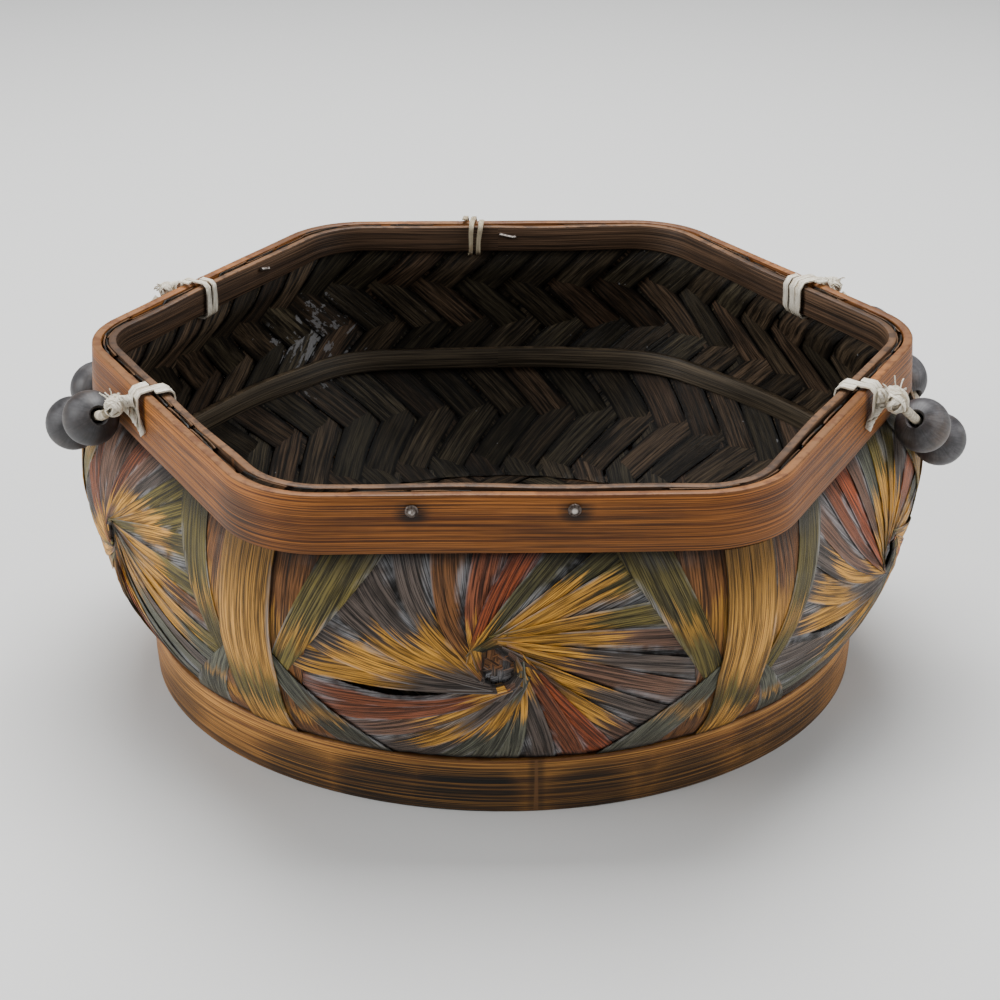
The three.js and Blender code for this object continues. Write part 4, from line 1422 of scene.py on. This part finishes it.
def knot_heart(centre, size, seed):
    """The lump inside a knot."""
    heart = ball(28, 18, 1)
    for vertex in heart.data.vertices:
        lump = 0.85 + 0.3 * noise.noise(vertex.co * 1.7 + Vector((seed, 0, 0)))
        vertex.co = centre + Vector([reach * part * lump for reach, part in zip(size, vertex.co)])
    return heart


def knot_wrap(blank, centre, size, turns, turned, slide, width, seed):
    """Turns of raffia round the knot's heart, lying across it at a slant."""
    def place(along, across, lift):
        turn = 2 * pi * turns * along + seed
        shift = mix(-slide, slide, along) + (across - 0.5) * width / size.y
        shift += 0.12 * uneven(5 * along, 3, seed)
        girth = sqrt(max(0.2, 1 - shift * shift * 0.7))
        rough = 1 + 0.2 * uneven(6 * along, 2 * across, seed)
        raised = lift + fibres(across, 8 * along, seed)
        ring = turned @ Vector((cos(turn) * girth, shift, sin(turn) * girth)) * rough
        sized = Vector([reach * part for reach, part in zip(size, ring)])
        return centre + sized + ring.normalized() * raised

    return lay(blank, place)


def twisted_strand(blank, points, radius, turns, phase, width, seed):
    """One strand of a twisted bundle that runs along three points."""
    first, middle, last = points
    heading = (last - first).normalized()
    aside = heading.orthogonal().normalized()
    upright = heading.cross(aside)

    def place(along, across, lift):
        spot_on = first.lerp(middle, along).lerp(middle.lerp(last, along), along)
        turn = phase + 2 * pi * turns * along + (across - 0.5) * width / radius
        reach = radius * (1 + 0.25 * uneven(4 * along, 2, seed)) + lift
        reach += fibres(across, 6 * along, seed)
        return spot_on + (aside * cos(turn) + upright * sin(turn)) * reach

    return lay(blank, place)


def add_tie(blank, wisp, side, finish):
    normal, towards, turns, width, scale = TIES[side]
    ribbons = [tie_ribbon(blank, normal, towards, TIE_START, turns, width)]
    outward = polar(normal, 1, 0)
    upward = Vector((0, 0, 1))
    rim_way = side_point(normal, 0, towards, 0)
    end = side_point(normal, LOOP_OUT, towards * (TIE_START + 2 * TIE_PITCH), SWING_HEIGHT)
    centre = Vector((copysign(SWING_X, end.x), end.y, SWING_HEIGHT))
    away = copysign(1, end.y)
    centre.y += away * TIE_PITCH
    seed = 3 * normal + 11
    chance = random.Random(side)
    size = KNOT_SIZE * scale
    ribbons.append(knot_heart(centre, size, seed))
    for number, (turn, tip, laps, slide) in enumerate(KNOT_WRAPS):
        turned = Matrix.Rotation(turn * away, 3, "Z") @ Matrix.Rotation(tip, 3, "X")
        wide = chance.uniform(1.5, 2.2) * scale * MM
        ribbons.append(knot_wrap(blank, centre, size, laps, turned, slide, wide, seed + 3 * number))

    def beside(back, up, out):
        return end - rim_way * back * MM + upward * up * MM + outward * out * MM

    root = beside(*NECK_ROOT)
    neck = [root, root.lerp(centre, 0.5) + upward * 1.4 * MM, centre]
    for number in range(NECK_STRANDS):
        phase = 2 * pi * number / NECK_STRANDS
        wide = chance.uniform(1.1, 1.8) * MM
        ribbons.append(twisted_strand(blank, neck, 1.35 * scale * MM, 0.8, phase, wide, seed + number))
    slit = side_point(normal, RIM_APOTHEM + BAND_FLARE + 0.2 * MM, towards * TIE_START, SLIT_HEIGHT)
    tail = [centre - outward * 1.5 * MM, beside(*TAIL_FOLD), slit]
    for number in range(2):
        ribbons.append(twisted_strand(blank, tail, 0.7 * MM, 1.5, 3 * number, 1.8 * MM, seed + 9 + number))
    for strand in range(WISP_COUNT):
        reach = chance.uniform(3, 6) * scale * MM
        sway = Vector((chance.uniform(-0.5, 0.8), -away * chance.uniform(0.1, 1), chance.uniform(0.1, 0.9)))
        sway.x *= copysign(1, centre.x)
        tip = centre + sway.normalized() * reach
        bend = centre.lerp(tip, 0.6) + upward * chance.uniform(0.2, 1.2) * MM
        ribbons.append(ribbon_along(wisp, [centre, bend, tip], WISP_WIDTH, outward, seed + strand))
    join(ribbons, f"{side}_raffia_tie", RAFFIA_EDGE, "raffia", finish, f"{side}_tie", outwards=True)


def add_ties(finish, back_finish):
    blank = strip_blank("raffia_blank", 60, 6, RIBBON_THICKNESS)
    wisp = strip_blank("wisp_blank", 6, 1, WISP_THICKNESS)
    for side in TIES:
        add_tie(blank, wisp, side, finish)
    ribbon = tie_ribbon(blank, QUARTER, 1, BACK_TIE_START, 2, BACK_TIE_WIDTH)
    join([ribbon], "back_raffia_tie", RAFFIA_EDGE, "raffia", back_finish, "back_tie", outwards=True)
    return [blank, wisp]


# Nails through the rim: which side, and how far along it
NAILS = {
    "nail_front_left": (-QUARTER, -27 * MM),
    "nail_front_right": (-QUARTER, 17 * MM),
    "nail_back": (QUARTER, -6.5 * MM),
    "nail_left_back": (pi - HALF_SIDE, -25 * MM),
}
NAIL_DROP = 4.3 * MM
NAIL_HEAD = 1.9 * MM
NAIL_SHANK = 0.7 * MM


def add_nail(node, normal, along, finish):
    """A domed head outside, and the shank's tip bent over inside."""
    height = RIM_TOP - NAIL_DROP
    seat = side_point(normal, RIM_APOTHEM + 0.45 * MM, along, height)
    head = ball(20, 12, NAIL_HEAD)
    edit()
    bpy.ops.mesh.bisect(plane_co=(0, 0, 0), plane_no=(0, 0, 1), clear_inner=True, use_fill=True)
    bpy.ops.mesh.select_all(action="SELECT")
    bpy.ops.transform.resize(value=(1, 1, 0.42))
    leave_edit()
    inside = INNER_BAND_INSIDE - 0.9 * MM
    points = [
        side_point(normal, RIM_APOTHEM, along, height),
        side_point(normal, inside + 1 * MM, along, height),
        side_point(normal, inside, along + 1.2 * MM, height + 0.2 * MM),
        side_point(normal, inside - 0.3 * MM, along + 6 * MM, height + 1.4 * MM),
    ]
    shank = tube(node + "_shank", points, NAIL_SHANK, roundness=2, bent=False)
    activate(shank)
    bpy.ops.object.convert(target="MESH")
    stand_on(head, seat, polar(normal, 1, 0))
    join([head, bpy.data.objects[node + "_shank"]], node + "_iron", SOLID_EDGE, "nail_iron", finish, node)


def discard(blanks):
    deselect()
    for blank in blanks:
        blank.select_set(True)
    bpy.ops.object.delete()


add_camera()
add_studio()
cord_look = cord_finish()
bead_look = bead_finish()
add_strand("left", -1, cord_look, bead_look)
add_strand("right", 1, cord_look, bead_look)
add_bands([bamboo_finish(name, *look) for name, look in BAMBOO_LOOKS.items()])
weave_blank = strip_blank("weave_blank", 56, 4, STRAND_THICKNESS)
weave_look = weave_finish()
add_weave(weave_blank, wall_strands(), "plaited_wall", weave_look, "woven_wall")
add_weave(weave_blank, floor_strands(), "plaited_floor", weave_look, "woven_floor")
leaf_blanks = add_leaf_skin(
    leaf_finish("leaf_pleats", 0.22, 0.04, 0.9, 6),
    leaf_finish("leaf_strips", -0.12, 0.08, 0.7, 10),
    leaf_finish("leaf_corners", -0.12, 0.0, 0.12, 26),
)
tie_blanks = add_ties(
    raffia_finish("dry_raffia", (0.8, 0.74, 0.61), (0.36, 0.31, 0.24), (0.42, 0.29, 0.14)),
    raffia_finish("old_raffia", (0.5, 0.42, 0.28), (0.16, 0.11, 0.07), (0.2, 0.12, 0.05)),
)
nail_look = nail_finish()
for node, (normal, along) in NAILS.items():
    add_nail(node, normal, along, nail_look)
discard([weave_blank, *leaf_blanks, *tie_blanks])

visual_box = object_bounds()
boxes = {"cad": cad_box, "visual": visual_box}
{name: [list(corner) for corner in box] for name, box in boxes.items()}
